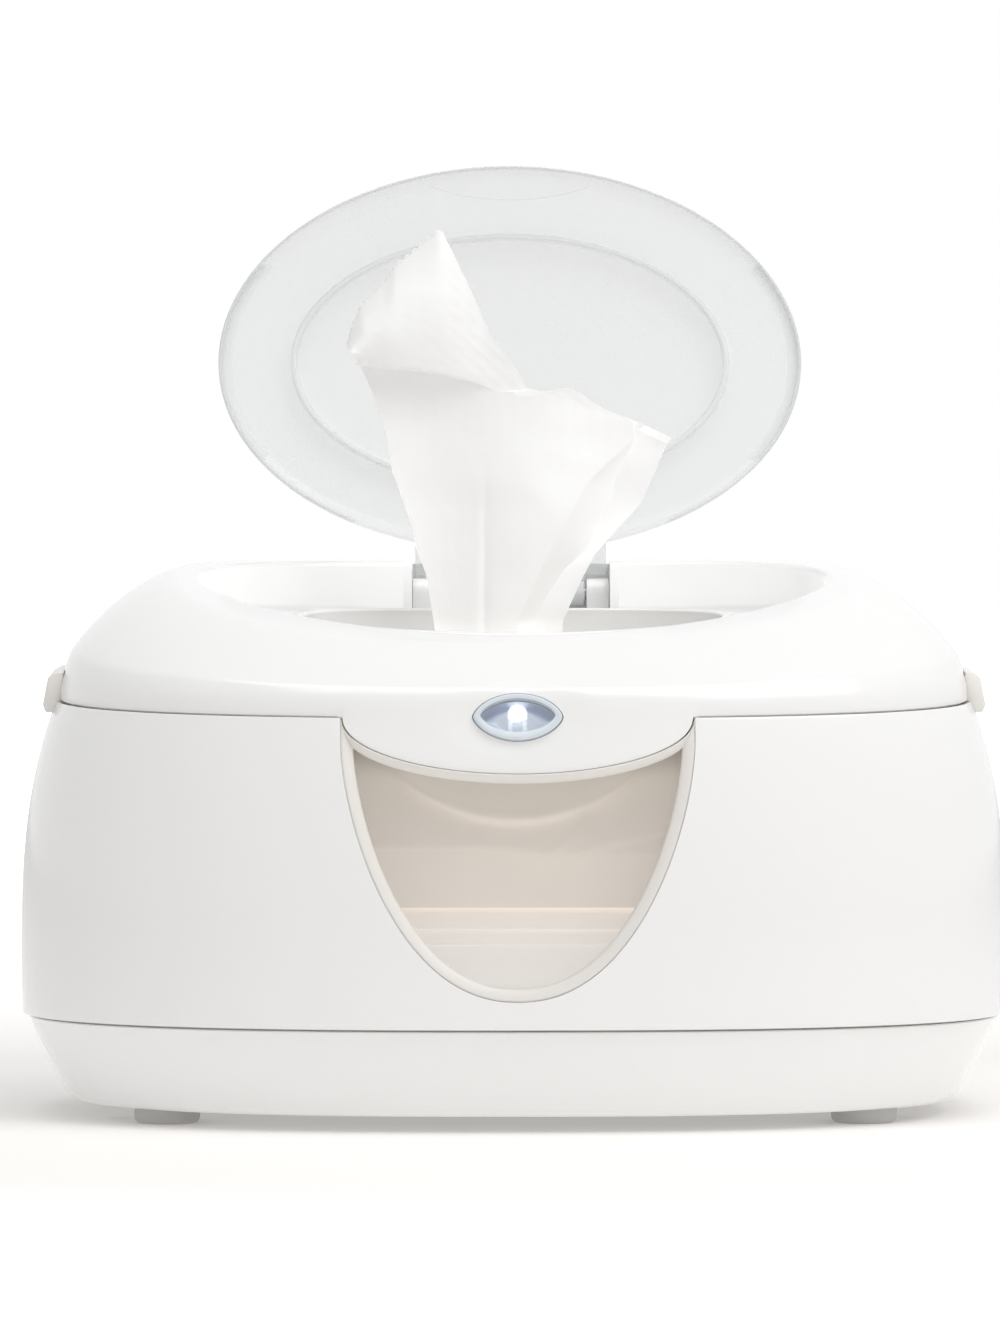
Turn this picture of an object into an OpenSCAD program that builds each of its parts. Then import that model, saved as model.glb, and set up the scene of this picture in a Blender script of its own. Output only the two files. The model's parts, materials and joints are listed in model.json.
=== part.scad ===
// Baby wipe warmer. A bulging housing with a clear front window holds a tub of
// wipes. Its hinged lid carries the heater and a light button, and a clear flip
// door covers the oval mouth that the wipes are pulled through.
// Millimetres, +Z up. X is the width, -Y is the front with the window, and the
// origin is on the table under the middle of the housing.

/* [Housing] */
// Widest width of the housing
body_w = 259; // [250:1:268]
// Widest depth of the housing
body_d = 182; // [176:1:190]
// Height of the widest line above the table
widest_z = 45; // [42:1:48]
// How far each side draws in from the widest line up to the lid seam
side_draw = 9.4; // [8:0.1:10.5]
// How far the front and back draw in up to the lid seam
front_draw = 6.5; // [5.5:0.1:7.5]
// Squareness of the outline from above, where 2 is an ellipse
plan_n = 2.5; // [2.4:0.05:2.7]
// Wall of the moulded shells
wall = 2.4; // [2.2:0.1:2.6]
// Height of the joint line between tray and shell
tray_seam_z = 26.4; // [25:0.1:28]
// Height of the tray's underside above the table
tray_z = 4; // [3.5:0.1:4.5]
// How far the tray stands inside the shell at the joint line
tray_step = 1.5; // [1.2:0.1:2]
// How far the tray's sides slope in down to its underside
tray_slope = 11.5; // [10:0.1:13]
// Gap between mouldings of the housing
seam_gap = 0.6; // [0.5:0.1:0.8]

/* [Lid] */
// Height of the lid seam at the middle of the depth
seam_z = 109.1; // [107:0.1:111]
// Rise of the lid seam towards the back, in degrees
seam_tilt = 2.5; // [2:0.1:3]
// How far the lid stands inside the shell at the seam
lid_step = 0.6; // [0.4:0.1:0.8]
// Height of the lid's top at the middle
lid_top_z = 141; // [140:0.1:142]
// Slope of the lid's top down to the front, in degrees
lid_slope = 9; // [8.5:0.1:9.5]
// How far the lid's top falls off the straight slope at the dish rim
lid_crown = 5.5; // [5:0.1:6]
// Height of the lid's upright side above the seam
lid_side_h = 6; // [5:0.1:7]
// Width of the rounded shoulder at each side
shoulder_side = 31; // [29:0.5:33]
// Width of the rounded shoulder at the front
shoulder_front = 22; // [20:0.5:24]
// Width of the rounded shoulder at the back
shoulder_back = 14; // [12:0.5:14.5]

/* [Window] */
// Width of the window at the lid seam
window_w = 90; // [84:0.2:95]
// Height of the window's bottom above the table
window_bottom_z = 33.7; // [31:0.1:38]
// Height at which the window's sides start to curve in
window_bend_z = 99; // [95:0.5:101]
// Width of the bevelled band round the glazing
window_band = 3.3; // [2.8:0.1:3.8]
// Width of the band above the glazing
window_top_band = 1.6; // [1.2:0.1:2.2]
// Thickness of the glazing
pane_t = 1.5; // [1.2:0.1:2]
// How far the lid's front tongue hangs below the seam
tongue_drop = 13.8; // [12:0.1:15]

/* [Dish and flip door] */
// From the housing's widest side to the dish's rim
dish_side = 47; // [46:0.5:48]
// From the housing's deepest front to the dish's rim
dish_front = 34; // [33:0.5:34.5]
// From the dish's rim to the mouth at each side
floor_side = 27.5; // [27:0.5:32]
// From the dish's rim to the mouth at the front and back
floor_front = 26; // [25:0.5:29]
// Height of the lip round the mouth
lip_h = 1.8; // [1.2:0.1:2.4]
// Thickness of the lip round the mouth
lip_t = 2.5; // [2.2:0.1:2.8]
// Gap between the closed flip door and the dish's rim at each side
flip_side_gap = 2.5; // [2:0.1:4]
// Gap between the closed flip door and the dish's rim at the front and back
flip_front_gap = 2.8; // [2.6:0.1:4]
// How far the middle of the flip door bows out
flip_bow = 5; // [4:0.2:5.6]
// Thickness of the flip door
flip_t = 2; // [1.8:0.1:2.2]
// Distance from the flip hinge to the door's near edge
flip_reach = 11.4; // [10.5:0.1:12]
// Lean of the open door past upright, in degrees
flip_lean = 12; // [8:1:12]
// Height of the sealing rib on the door's inner face
flip_rib_h = 4; // [3:0.1:4.4]
// How far the closed door lies below the dish's front rim
flip_sink = 1.5; // [1:0.1:2.5]
// Width of the flip hinge pocket in the lid
pocket_w = 53.6; // [52:0.2:56]
// Width of each ear that carries the flip hinge pin
ear_w = 6.3; // [5:0.1:7]
// Radius of the flip hinge pin
flip_pin_r = 1.6; // [1.3:0.1:1.8]

/* [Light button] */
// Width of the pointed oval button
button_w = 22.6; // [20:0.2:25]
// Height of the pointed oval button
button_h = 12; // [11:0.1:13]
// Travel of the button
button_travel = 1; // [0.6:0.1:1.2]
// Diameter of the lamp's dome
led_d = 5; // [4:0.5:5]

/* [Release tabs] */
// Length of each side tab, front to back
tab_l = 34; // [30:1:38]
// How far each tab stands out of the side
tab_out = 3.3; // [3:0.1:3.6]

/* [Tub and wipes] */
// From the housing's widest side to the inner tub
tub_side = 31.5; // [31:0.5:36]
// From the housing's deepest front to the inner tub
tub_front = 24; // [23.5:0.5:28]
// Wall of the inner tub
tub_wall = 1.8; // [1.5:0.1:2.2]
// Room between the tub and the stack of folded wipes at each side
stack_side = 6; // [5:0.5:12]
// Room between the tub and the stack at the front and back
stack_front = 9; // [8:0.5:16]
// Height of the stack of folded wipes
stack_h = 52; // [40:1:56]
// Thickness of a pulled wipe's solid
wipe_t = 0.9; // [0.7:0.1:1.2]

/* [Feet and fasteners] */
// Diameter of each rubber foot
foot_d = 17; // [14:0.5:18]
// From the housing's widest side to the middle of a foot
foot_side = 39.5; // [38:0.5:46]
// From the housing's deepest front to the middle of a foot
foot_front = 47; // [45:0.5:53]
// Radius of the screws' shanks
screw_r = 1.5; // [1.3:0.1:1.6]
// Radius of the lid hinge pins
pin_r = 1.5; // [1.3:0.1:1.8]

/* [Hidden] */
$fn = 64;

half_w0 = body_w / 2;
half_d0 = body_d / 2;
dish_w = body_w - 2 * dish_side;
dish_d = body_d - 2 * dish_front;
mouth_w = dish_w - 2 * floor_side;
mouth_d = dish_d - 2 * floor_front;
flip_w = dish_w - 2 * flip_side_gap;
flip_d = dish_d - 2 * flip_front_gap;
tub_w = body_w - 2 * tub_side;
tub_d = body_d - 2 * tub_front;
stack_w = tub_w - 2 * stack_side;
stack_d = tub_d - 2 * stack_front;
fit_gap = 0.3;
run_gap = 0.05;
profile_n = 2.6;
tan_seam = tan(seam_tilt);

// Half-sizes of the housing at a height
function draw_in(z) = pow(abs((z - widest_z) / (seam_z - widest_z)), profile_n);
function half_w(z) = half_w0 - side_draw * draw_in(z);
function half_d(z) = half_d0 - front_draw * draw_in(z);

// Distance from the centre to a superellipse in direction f
function reach(a, b, n, f) =
    pow(pow(abs(cos(f)) / a, n) + pow(abs(sin(f)) / b, n), -1 / n);
function shell_pt(f, z, inset) =
    let (r = reach(half_w(z) - inset, half_d(z) - inset, plan_n, f))
    [r * cos(f), r * sin(f), z];
function front_y(x, z, inset) =
    -(half_d(z) - inset) * pow(1 - pow(abs(x) / (half_w(z) - inset), plan_n), 1 / plan_n);
function side_x(y, z, inset) =
    (half_w(z) - inset) * pow(1 - pow(abs(y) / (half_d(z) - inset), plan_n), 1 / plan_n);

// The lid seam in direction f, and the lower edge of the tongue at x
function seam_at(f) =
    seam_z + tan_seam * reach(half_w(seam_z), half_d(seam_z), plan_n, f) * sin(f);
seam_front_z = seam_z - tan_seam * half_d(seam_z);
tongue_w = window_w - seam_gap;
function tongue_at(x) = tongue_drop * sqrt(max(0, 1 - pow(2 * x / tongue_w, 2)));

// Directions round the outline: one for each step of the tongue's curve, then even
// ones up to the sides and round the back
tongue_steps = 20;
tongue_dirs = [
    for (i = [0:tongue_steps])
        let (x = -tongue_w / 2 * cos(180 * i / tongue_steps))
        360 + atan2(front_y(x, seam_front_z, 0), x)
];
edge_dir = tongue_dirs[tongue_steps];
front_steps = 12;
back_steps = 36;
dirs = concat(
    tongue_dirs,
    [for (i = [1:front_steps - 1]) edge_dir + (360 - edge_dir) * i / front_steps],
    [for (i = [0:back_steps]) 360 + 180 * i / back_steps],
    [for (i = [1:front_steps - 1]) 540 + (360 - edge_dir) * i / front_steps]
);

// A closed skin over rings of points, as a ring-shaped solid
module skin_loop(rings) {
    n = len(rings[0]);
    m = len(rings);
    polyhedron(
        points = [for (r = rings) each r],
        faces = [
            for (i = [0:m - 1], j = [0:n - 1])
                let (a = i * n + j, b = i * n + (j + 1) % n)
                let (c = ((i + 1) % m) * n + (j + 1) % n, d = ((i + 1) % m) * n + j)
                each [[a, d, c], [a, c, b]]
        ],
        convexity = 12
    );
}

// A closed skin over rings of points, with a fan over the first and last ring
module skin_capped(rings, first, last) {
    n = len(rings[0]);
    m = len(rings);
    polyhedron(
        points = concat([for (r = rings) each r], [first, last]),
        faces = concat(
            [
                for (i = [0:m - 2], j = [0:n - 1])
                    let (a = i * n + j, b = i * n + (j + 1) % n)
                    let (c = (i + 1) * n + (j + 1) % n, d = (i + 1) * n + j)
                    each [[a, d, c], [a, c, b]]
            ],
            [for (j = [0:n - 1]) [m * n, j, (j + 1) % n]],
            [for (j = [0:n - 1]) [m * n + 1, (m - 1) * n + (j + 1) % n, (m - 1) * n + j]]
        ),
        convexity = 12
    );
}

module oval(w, d) { scale([w, d]) circle(d = 1); }
module oval_ring(w, d, t) {
    difference() {
        oval(w, d);
        oval(w - 2 * t, d - 2 * t);
    }
}
module rounded_rect(w, d, r) {
    square([w - 2 * r, d], center = true);
    square([w, d - 2 * r], center = true);
    for (x = [-1, 1], y = [-1, 1])
        translate([x * (w / 2 - r), y * (d / 2 - r)]) circle(r);
}
module outline(a, b) {
    polygon([for (f = dirs) let (r = reach(a, b, plan_n, f)) [r * cos(f), r * sin(f)]]);
}

// Tray: the lower moulding that the screws come up through
tray_floor = tray_z + wall;
tray_lip = 3;
tower_top = tray_floor + 8;
counterbore_top = tray_z + 6;
screw_head_r = 3;
screw_head_h = 2;
tower_r = 5;
tub_bottom_z = tray_floor + 7.6;
function tray_pt(f, z, inset) =
    let (t = (tray_seam_z - z) / (tray_seam_z - tray_z))
    let (s = max(0, pow(max(t, 0), 1.2)))
    let (a = half_w(tray_seam_z) - tray_step - tray_slope * s - inset)
    let (b = half_d(tray_seam_z) - tray_step - 0.7 * tray_slope * s - inset)
    let (r = reach(a, b, plan_n, f))
    [r * cos(f), r * sin(f), z];
function tray_ring(z, inset) = [for (f = dirs) tray_pt(f, z, inset)];
screw_x = half_w0 - 26.5;
screw_y = 30;
screw_spots = [for (x = [-1, 1], y = [-1, 1]) [x * screw_x, y * screw_y]];
foot_spots = [for (x = [-1, 1], y = [-1, 1]) [x * (half_w0 - foot_side), y * (half_d0 - foot_front)]];
foot_recess = 0.8;
tub_y = -1;
post_x = 0.3 * tub_w;
post_y = 0.28 * tub_d;
post_r = 5;

module base_tray() {
    edge = 2.2;
    mid_z = (tray_seam_z + tray_z) / 2;
    lip_in = wall + fit_gap - tray_step;
    color("white") difference() {
        union() {
            skin_capped(
                [
                    tray_ring(tray_z, edge),
                    tray_ring(tray_z + edge / 3, edge / 4),
                    tray_ring(tray_z + edge, 0),
                    tray_ring(mid_z - 3, 0),
                    tray_ring(mid_z + 4, 0),
                    tray_ring(tray_seam_z - seam_gap / 2, 0),
                    tray_ring(tray_seam_z - seam_gap / 2, lip_in),
                    tray_ring(tray_seam_z + tray_lip, lip_in),
                    tray_ring(tray_seam_z + tray_lip, lip_in + wall - 0.6),
                    tray_ring(tray_seam_z - 1, wall + 0.4),
                    tray_ring(mid_z, wall),
                    tray_ring(tray_floor, wall + edge)
                ],
                [0, 0, tray_z], [0, 0, tray_floor]
            );
            for (p = screw_spots)
                translate([p[0], p[1], tray_floor - 1]) cylinder(r = tower_r, h = tower_top - tray_floor + 1);
            for (x = [-1, 1], y = [-1, 1])
                translate([x * post_x, tub_y + y * post_y, tray_floor - 1])
                    cylinder(r = post_r, h = tub_bottom_z - tray_floor + 1);
        }
        for (p = screw_spots) translate([p[0], p[1], 0]) {
            cylinder(r = screw_head_r + 0.4, h = counterbore_top);
            cylinder(r = screw_r + 0.4, h = tower_top + 1);
        }
        for (p = foot_spots)
            translate([p[0], p[1], 0]) cylinder(d = foot_d + 2 * fit_gap, h = tray_z + foot_recess);
    }
}

// Shell: the bulging wall, open at the top and notched for the window
boss_top = 42;
boss_r = 3.6;
hinge_x = 30;
knuckle_l = 11.2;
knuckle_r = 3.6;
knuckle_gap = 0.4;
hinge_y = half_d(seam_z) + 0.6;
hinge_half = knuckle_l / 2 + knuckle_gap + 5;
function shell_ring(z, inset) = [for (f = dirs) shell_pt(f, z, inset)];
function seam_ring(dz, inset) = [for (f = dirs) shell_pt(f, seam_at(f) + dz, inset)];

// Places a piece in the plane of the lid seam, at the middle of the housing
module at_seam() { translate([0, 0, seam_z]) rotate([seam_tilt, 0, 0]) children(); }

// The window's outline: a rounded U below, the tongue's curve above
window_n = 1.6;
window_m = 2.2;
top_steps = 16;
side_steps = 32;
function window_fall(reach) = pow(max(0, 1 - pow(reach, window_m)), 1 / window_n);
function window_outline(side, top) =
    let (a = window_w / 2 - side)
    concat(
        [
            for (i = [0:top_steps])
                let (x = a * sin(-90 + 180 * i / top_steps))
                [x, seam_front_z - top - tongue_at(x)]
        ],
        [
            for (i = [0:side_steps])
                let (t = 180 * i / side_steps)
                [a * cos(t), window_bend_z - (window_bend_z - window_bottom_z - side) * window_fall(abs(cos(t)))]
        ]
    );
function window_ring(side, top, inset) =
    [for (p = window_outline(side, top)) [p[0], front_y(p[0], p[1], inset), p[1]]];

module hinge_knuckle(l) {
    rotate([0, 90, 0]) cylinder(r = knuckle_r, h = l, center = true);
}
module hinge_bore() {
    for (s = [-1, 1]) translate([s * hinge_x, hinge_y, 0])
        rotate([0, 90, 0]) cylinder(r = pin_r + run_gap, h = 2 * hinge_half + 1, center = true);
}
module hinge_clear() {
    for (s = [-1, 1]) translate([s * hinge_x, hinge_y, 0])
        rotate([0, 90, 0])
            cylinder(r = knuckle_r + knuckle_gap, h = 2 * (hinge_half + knuckle_gap), center = true);
}

module body_shell() {
    ear_l = 5;
    ear_x = knuckle_l / 2 + knuckle_gap + ear_l / 2;
    web_d = 14;
    rib_bottom = tray_seam_z + tray_lip + 1;
    color("white") difference() {
        union() {
            difference() {
                skin_loop([
                    shell_ring(tray_seam_z + seam_gap / 2, 0),
                    shell_ring((tray_seam_z + widest_z) / 2, 0),
                    shell_ring(widest_z + 4, 0),
                    shell_ring(widest_z + 18, 0),
                    shell_ring(widest_z + 31, 0),
                    shell_ring(widest_z + 43, 0),
                    seam_ring(-7, 0),
                    seam_ring(-seam_gap / 2, 0),
                    seam_ring(-seam_gap / 2, wall),
                    seam_ring(-12, wall),
                    shell_ring(widest_z + 24, wall),
                    shell_ring(widest_z, wall),
                    shell_ring(tray_seam_z + seam_gap / 2, wall)
                ]);
                rotate([90, 0, 0]) linear_extrude(body_d) polygon(concat(
                    [[-window_w / 2, lid_top_z], [window_w / 2, lid_top_z]],
                    [for (i = [0:side_steps]) window_outline(0, 0)[top_steps + 1 + i]]
                ));
                at_seam() hinge_clear();
            }
            for (p = screw_spots) {
                translate([p[0], p[1], tower_top + 0.2]) cylinder(r = boss_r, h = boss_top - tower_top);
                x1 = side_x(p[1], rib_bottom, wall / 2);
                translate([min(p[0], sign(p[0]) * x1), p[1] - 1, rib_bottom])
                    cube([x1 - screw_x, 2, boss_top - rib_bottom - 2]);
            }
            at_seam() for (s = [-1, 1], e = [-1, 1]) translate([s * hinge_x + e * ear_x, 0, 0]) {
                translate([0, hinge_y, 0]) hinge_knuckle(ear_l);
                rotate([90, 0, 90]) linear_extrude(ear_l, center = true) polygon([
                    [hinge_y - 4.5, -1], [hinge_y - 4.5, -web_d],
                    [hinge_y - 1.2, -web_d], [hinge_y + knuckle_r, 0], [hinge_y, 0]
                ]);
            }
        }
        for (p = screw_spots)
            translate([p[0], p[1], 0]) cylinder(r = screw_r + run_gap, h = tower_top + 14);
        at_seam() {
            hinge_bore();
            tab_notch();
        }
    }
}

// Tub: the liner that holds the wipes, hung by its flange just under the seam
flange_t = 1.8;
flange_top = -0.9;
flange_inset = wall + fit_gap + 0.4;
tub_r = 32;
notch_w = window_w + 8;
tub_front_y = tub_y - tub_d / 2;
module tub_plan(inset) { translate([0, tub_y]) rounded_rect(tub_w - 2 * inset, tub_d - 2 * inset, tub_r - inset); }
module below_seam(depth) {
    at_seam() translate([-body_w / 2, -body_d / 2, flange_top - depth]) cube([body_w, body_d, depth]);
}
module inner_tub() {
    color("gainsboro", 0.5) difference() {
        union() {
            intersection() {
                translate([0, 0, tub_bottom_z]) linear_extrude(seam_z) tub_plan(0);
                below_seam(seam_z);
            }
            at_seam() translate([0, 0, flange_top - flange_t]) linear_extrude(flange_t) difference() {
                outline(half_w(seam_z + 4) - flange_inset, half_d(seam_z + 4) - flange_inset);
                translate([-notch_w / 2, tub_front_y - body_d]) square([notch_w, body_d + 0.01]);
            }
        }
        translate([0, 0, tub_bottom_z + tub_wall]) linear_extrude(seam_z) tub_plan(tub_wall);
    }
}

module window_frame() {
    lap = 2;
    back = wall + fit_gap;
    color("white") skin_loop([
        window_ring(0.25, seam_gap, 0.25),
        window_ring(window_band, seam_gap + window_top_band, 2),
        window_ring(window_band, seam_gap + window_top_band, back + 1.7),
        window_ring(-lap, seam_gap, back + 1.7),
        window_ring(-lap, seam_gap, back),
        window_ring(0.25, seam_gap, back)
    ]);
}

module window_pane() {
    near = wall + fit_gap + 1.8;
    far = near + pane_t;
    mid_z = window_bend_z - 25;
    // The pane is a stack of shrinking outlines, so that it follows the bulge
    function shrink(k, inset) = [
        for (p = window_outline(window_band - 2, seam_gap + window_top_band - 0.8))
            let (q = [p[0] * k, mid_z + (p[1] - mid_z) * k])
            [q[0], front_y(q[0], q[1], inset), q[1]]
    ];
    color("gainsboro", 0.4) skin_capped(
        [shrink(0.45, near), shrink(0.8, near), shrink(1, near), shrink(1, far), shrink(0.8, far), shrink(0.45, far)],
        [0, front_y(0, mid_z, near), mid_z], [0, front_y(0, mid_z, far), mid_z]
    );
}

cover_bottom = 0.5;
cover_t = 2;
module tub_gasket() {
    color("silver") at_seam() translate([0, 0, flange_top]) linear_extrude(cover_bottom - fit_gap - flange_top)
        difference() {
            tub_plan(-1.5);
            tub_plan(1);
        }
}

// Wipes: a stack of folded layers with a soft crown, and the wipe pulled from it
stack_bottom = tub_bottom_z + tub_wall + fit_gap;
stack_layers = 8;
stack_crown = 9;
function stack_ring(z, a, b, shift) = [
    for (f = [0:9:351])
        let (r = reach(a, b, 5, f))
        [r * cos(f), tub_y + shift + r * sin(f), z]
];
module wipe_stack() {
    layer_h = stack_h / stack_layers;
    groove = 1.1;
    a = stack_w / 2;
    b = stack_d / 2;
    sides = [
        for (k = [0:stack_layers - 1])
            let (z = stack_bottom + k * layer_h)
            let (s = 0.8 * sin(k * 137), g = 1.2 * abs(sin(k * 97)))
            each [
                stack_ring(z + 0.12 * layer_h, a - g - groove, b - groove - 1, s),
                stack_ring(z + 0.5 * layer_h, a - g, b - 1, s)
            ]
    ];
    top_z = stack_bottom + stack_h;
    color("oldlace") skin_capped(
        concat(
            [stack_ring(stack_bottom, a - 6, b - 5, 0)], sides,
            [
                stack_ring(top_z, a - 5, b - 5, 0),
                stack_ring(top_z + 0.35 * stack_crown, 0.72 * a, 0.72 * b, 0),
                stack_ring(top_z + 0.8 * stack_crown, 0.36 * a, 0.36 * b, 0)
            ]
        ),
        [0, tub_y, stack_bottom], [0, tub_y, top_z + stack_crown]
    );
}

// The pulled wipe's upper edge as x and height, from its left corner to its right
wipe_top = [
    [-43.8, 200.8], [-41.1, 211.4], [-31, 223], [-19.4, 233.1], [-12, 216.7], [-4, 202],
    [4.8, 190.7], [11.9, 191.5], [21.2, 186.2], [33.2, 183.5], [41.6, 177.7]
];
wipe_mouth_z = 129;
wipe_mouth_x = [-20.7, 11.9];
wipe_low_z = stack_bottom + stack_h + stack_crown + fit_gap;
wipe_cols = 2 * (len(wipe_top) - 1);
wipe_rows = 16;
function wipe_edge(i) =
    let (k = min(floor(i / 2), len(wipe_top) - 2), t = i / 2 - k)
    wipe_top[k] * (1 - t) + wipe_top[k + 1] * t;
// A point of the wipe at column i and row j, set off by half its thickness
function wipe_pt(i, j, off) =
    let (u = i / wipe_cols, v = j / wipe_rows)
    let (e = wipe_edge(i), mx = wipe_mouth_x[0] + (wipe_mouth_x[1] - wipe_mouth_x[0]) * u)
    let (z = wipe_low_z + (e[1] - wipe_low_z) * v)
    let (low = min(1, (z - wipe_low_z) / (wipe_mouth_z - wipe_low_z)))
    let (t = max(0, (z - wipe_mouth_z) / (e[1] - wipe_mouth_z)))
    let (x = z < wipe_mouth_z ? mx * (0.8 + 0.2 * low) : mx + (e[0] - mx) * pow(t, 1.15 - 0.5 * u))
    let (fold = (3 + 5 * t) * sin(430 * u + 20) + 7 * t * t * (u < 0.5 ? cos(180 * u) : 0))
    [x, 2 + fold + off, z];
module pulled_wipe() {
    n = wipe_cols + 1;
    m = wipe_rows + 1;
    nm = n * m;
    function at(i, j) = j * n + i;
    color("white") polyhedron(
        points = concat(
            [for (j = [0:wipe_rows], i = [0:wipe_cols]) wipe_pt(i, j, -wipe_t / 2)],
            [for (j = [0:wipe_rows], i = [0:wipe_cols]) wipe_pt(i, j, wipe_t / 2)]
        ),
        faces = concat(
            [
                for (j = [0:wipe_rows - 1], i = [0:wipe_cols - 1])
                    let (a = at(i, j), b = at(i + 1, j), c = at(i + 1, j + 1), d = at(i, j + 1))
                    each [[a, d, c], [a, c, b], [nm + a, nm + c, nm + d], [nm + a, nm + b, nm + c]]
            ],
            [
                for (i = [0:wipe_cols - 1])
                    let (a = at(i, 0), b = at(i + 1, 0), c = at(i, wipe_rows), d = at(i + 1, wipe_rows))
                    each [[a, b, nm + b], [a, nm + b, nm + a], [c, nm + d, d], [c, nm + c, nm + d]]
            ],
            [
                for (j = [0:wipe_rows - 1])
                    let (a = at(0, j), b = at(0, j + 1), c = at(wipe_cols, j), d = at(wipe_cols, j + 1))
                    each [[a, nm + b, b], [a, nm + a, nm + b], [c, d, nm + d], [c, nm + d, nm + c]]
            ]
        ),
        convexity = 8
    );
}

module feet() {
    color("darkgray") for (p = foot_spots) translate([p[0], p[1], 0]) {
        rotate_extrude() polygon([
            [0, 0], [foot_d / 2 - 1.2, 0], [foot_d / 2, 1.2],
            [foot_d / 2, tray_z + foot_recess], [0, tray_z + foot_recess]
        ]);
    }
}

module screw(l) {
    rotate_extrude() polygon([
        [0, -screw_head_h], [screw_head_r - 0.6, -screw_head_h], [screw_head_r, -screw_head_h + 0.6],
        [screw_head_r, 0], [screw_r, 0], [screw_r, l - 1], [screw_r - 0.8, l], [0, l]
    ]);
}
module base_screws() {
    color("silver") for (p = screw_spots) translate([p[0], p[1], counterbore_top]) screw(16);
}
module lid_hinge_pins() {
    color("silver") at_seam() for (s = [-1, 1]) translate([s * hinge_x, hinge_y, 0])
        rotate([0, 90, 0]) cylinder(r = pin_r, h = 2 * hinge_half - 0.6, center = true);
}

// Lid: one moulding from the seam over the shoulders, down the dish to the mouth
shoulder_n = 1.45;
function top_z(y) = lid_top_z + y * tan(lid_slope) - lid_crown * pow(2 * y / dish_d, 2);
flip_y = dish_d / 2 + 7;
flip_z = top_z(flip_y) - 8.3;
flip_arm = flip_reach + flip_d;
closed_slope = asin((flip_z - (top_z(-dish_d / 2) - flip_sink)) / flip_arm);
dish_depth = 6;
dish_rim = 1.2;
function floor_z(y) =
    flip_z - dish_depth - (flip_y - y) * tan(closed_slope) + flip_bow * (1 - pow(2 * y / dish_d, 2));
plateau_y = (shoulder_front - shoulder_back) / 2;

// A ring on the lid's shoulder: roll 0 is the seam, roll 90 is the top
function shoulder_pt(f, roll, inset) =
    let (c = pow(cos(roll), 2 / shoulder_n), s = pow(sin(roll), 2 / shoulder_n))
    let (a = half_w(seam_at(f)) - lid_step - inset - shoulder_side * (1 - c))
    let (b = half_d(seam_at(f)) - lid_step - inset - (shoulder_front + shoulder_back) / 2 * (1 - c))
    let (r = reach(a, b, plan_n, f), y = plateau_y * (1 - c) + r * sin(f))
    let (side_top = seam_at(f) + lid_side_h)
    [r * cos(f), y, side_top + (top_z(y) - inset - side_top) * s];
function shoulder_ring(roll, inset) = [for (f = dirs) shoulder_pt(f, roll, inset)];
function side_foot_ring(inset) = [
    for (f = dirs)
        let (p = shoulder_pt(f, 0, inset))
        [p[0], p[1], seam_at(f) + seam_gap / 2 + 0.4]
];
// The lid's lower edge, which drops into the tongue across the front
function lid_edge_ring(inset) = [
    for (f = dirs)
        let (p = shell_pt(f, seam_at(f), 0))
        let (drop = p[1] < 0 ? tongue_at(p[0]) : 0)
        shell_pt(f, seam_at(f) + seam_gap / 2 - drop, lid_step + inset)
];
function oval_pt(f, w, d) = let (r = reach(w / 2, d / 2, 2, f)) [r * cos(f), r * sin(f)];
function oval_top_ring(w, d, sink) =
    [for (f = dirs) let (p = oval_pt(f, w, d)) [p[0], p[1], top_z(p[1]) - sink]];
function oval_floor_ring(w, d, rise) =
    [for (f = dirs) let (p = oval_pt(f, w, d)) [p[0], p[1], floor_z(p[1]) + rise]];
function oval_seam_ring(w, d, rise) =
    [for (f = dirs) let (p = oval_pt(f, w, d)) [p[0], p[1], seam_z + tan_seam * p[1] + rise]];

pocket_d0 = dish_d / 2 - 12;
pocket_back = flip_y + 3.8;
pocket_floor = flip_z - 6.9;
barrel_r = 3.4;
ear_r = 4;
ear_in = pocket_w / 2 - ear_w;
cover_boss = [
    [half_w0 - 29.5, 36], [half_w0 - 29.5, -36], [50, half_d0 - 26], [62, 29 - half_d0]
];
sunk = screw_head_h + 0.2;
boss_foot = cover_bottom + sunk + 2;
boss_pts = [for (s = [-1, 1], p = cover_boss) [s * p[0], p[1]]];
button_tilt = atan(front_draw * profile_n / (seam_z - widest_z)) - 1;
button_z = seam_front_z + 0.3;
socket_z = 9.1;
socket_r = 5.4;

// Places the button's parts: +Z comes straight out of the lid's front
module at_button() {
    translate([0, -half_d(button_z) + lid_step, button_z]) rotate([90 - button_tilt, 0, 0]) children();
}
// An oval with softly pointed ends
module pointed_oval(w, h) {
    oval_steps = 28;
    upper = [
        for (i = [0:oval_steps - 1])
            let (t = 180 * i / oval_steps) [w / 2 * cos(t), h / 2 * pow(sin(t), 1.3)]
    ];
    polygon(concat(upper, [for (p = upper) -p]));
}
// The solid inside the lid's outer surface, for trimming bosses to the wall
module lid_core() {
    skin_capped(
        concat([side_foot_ring(wall / 2)], [for (roll = [0, 30, 60, 90]) shoulder_ring(roll, wall / 2)]),
        [0, 0, seam_z], [0, plateau_y, top_z(plateau_y) - wall / 2]
    );
}

// The space over the dish's floor
module dish_space() {
    skin_capped(
        [
            oval_floor_ring(dish_w - 2, dish_d - 2, 0),
            oval_top_ring(dish_w, dish_d, dish_rim),
            oval_top_ring(dish_w, dish_d, -30)
        ],
        [0, 0, floor_z(0)], [0, 0, top_z(0) + 30]
    );
}

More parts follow.
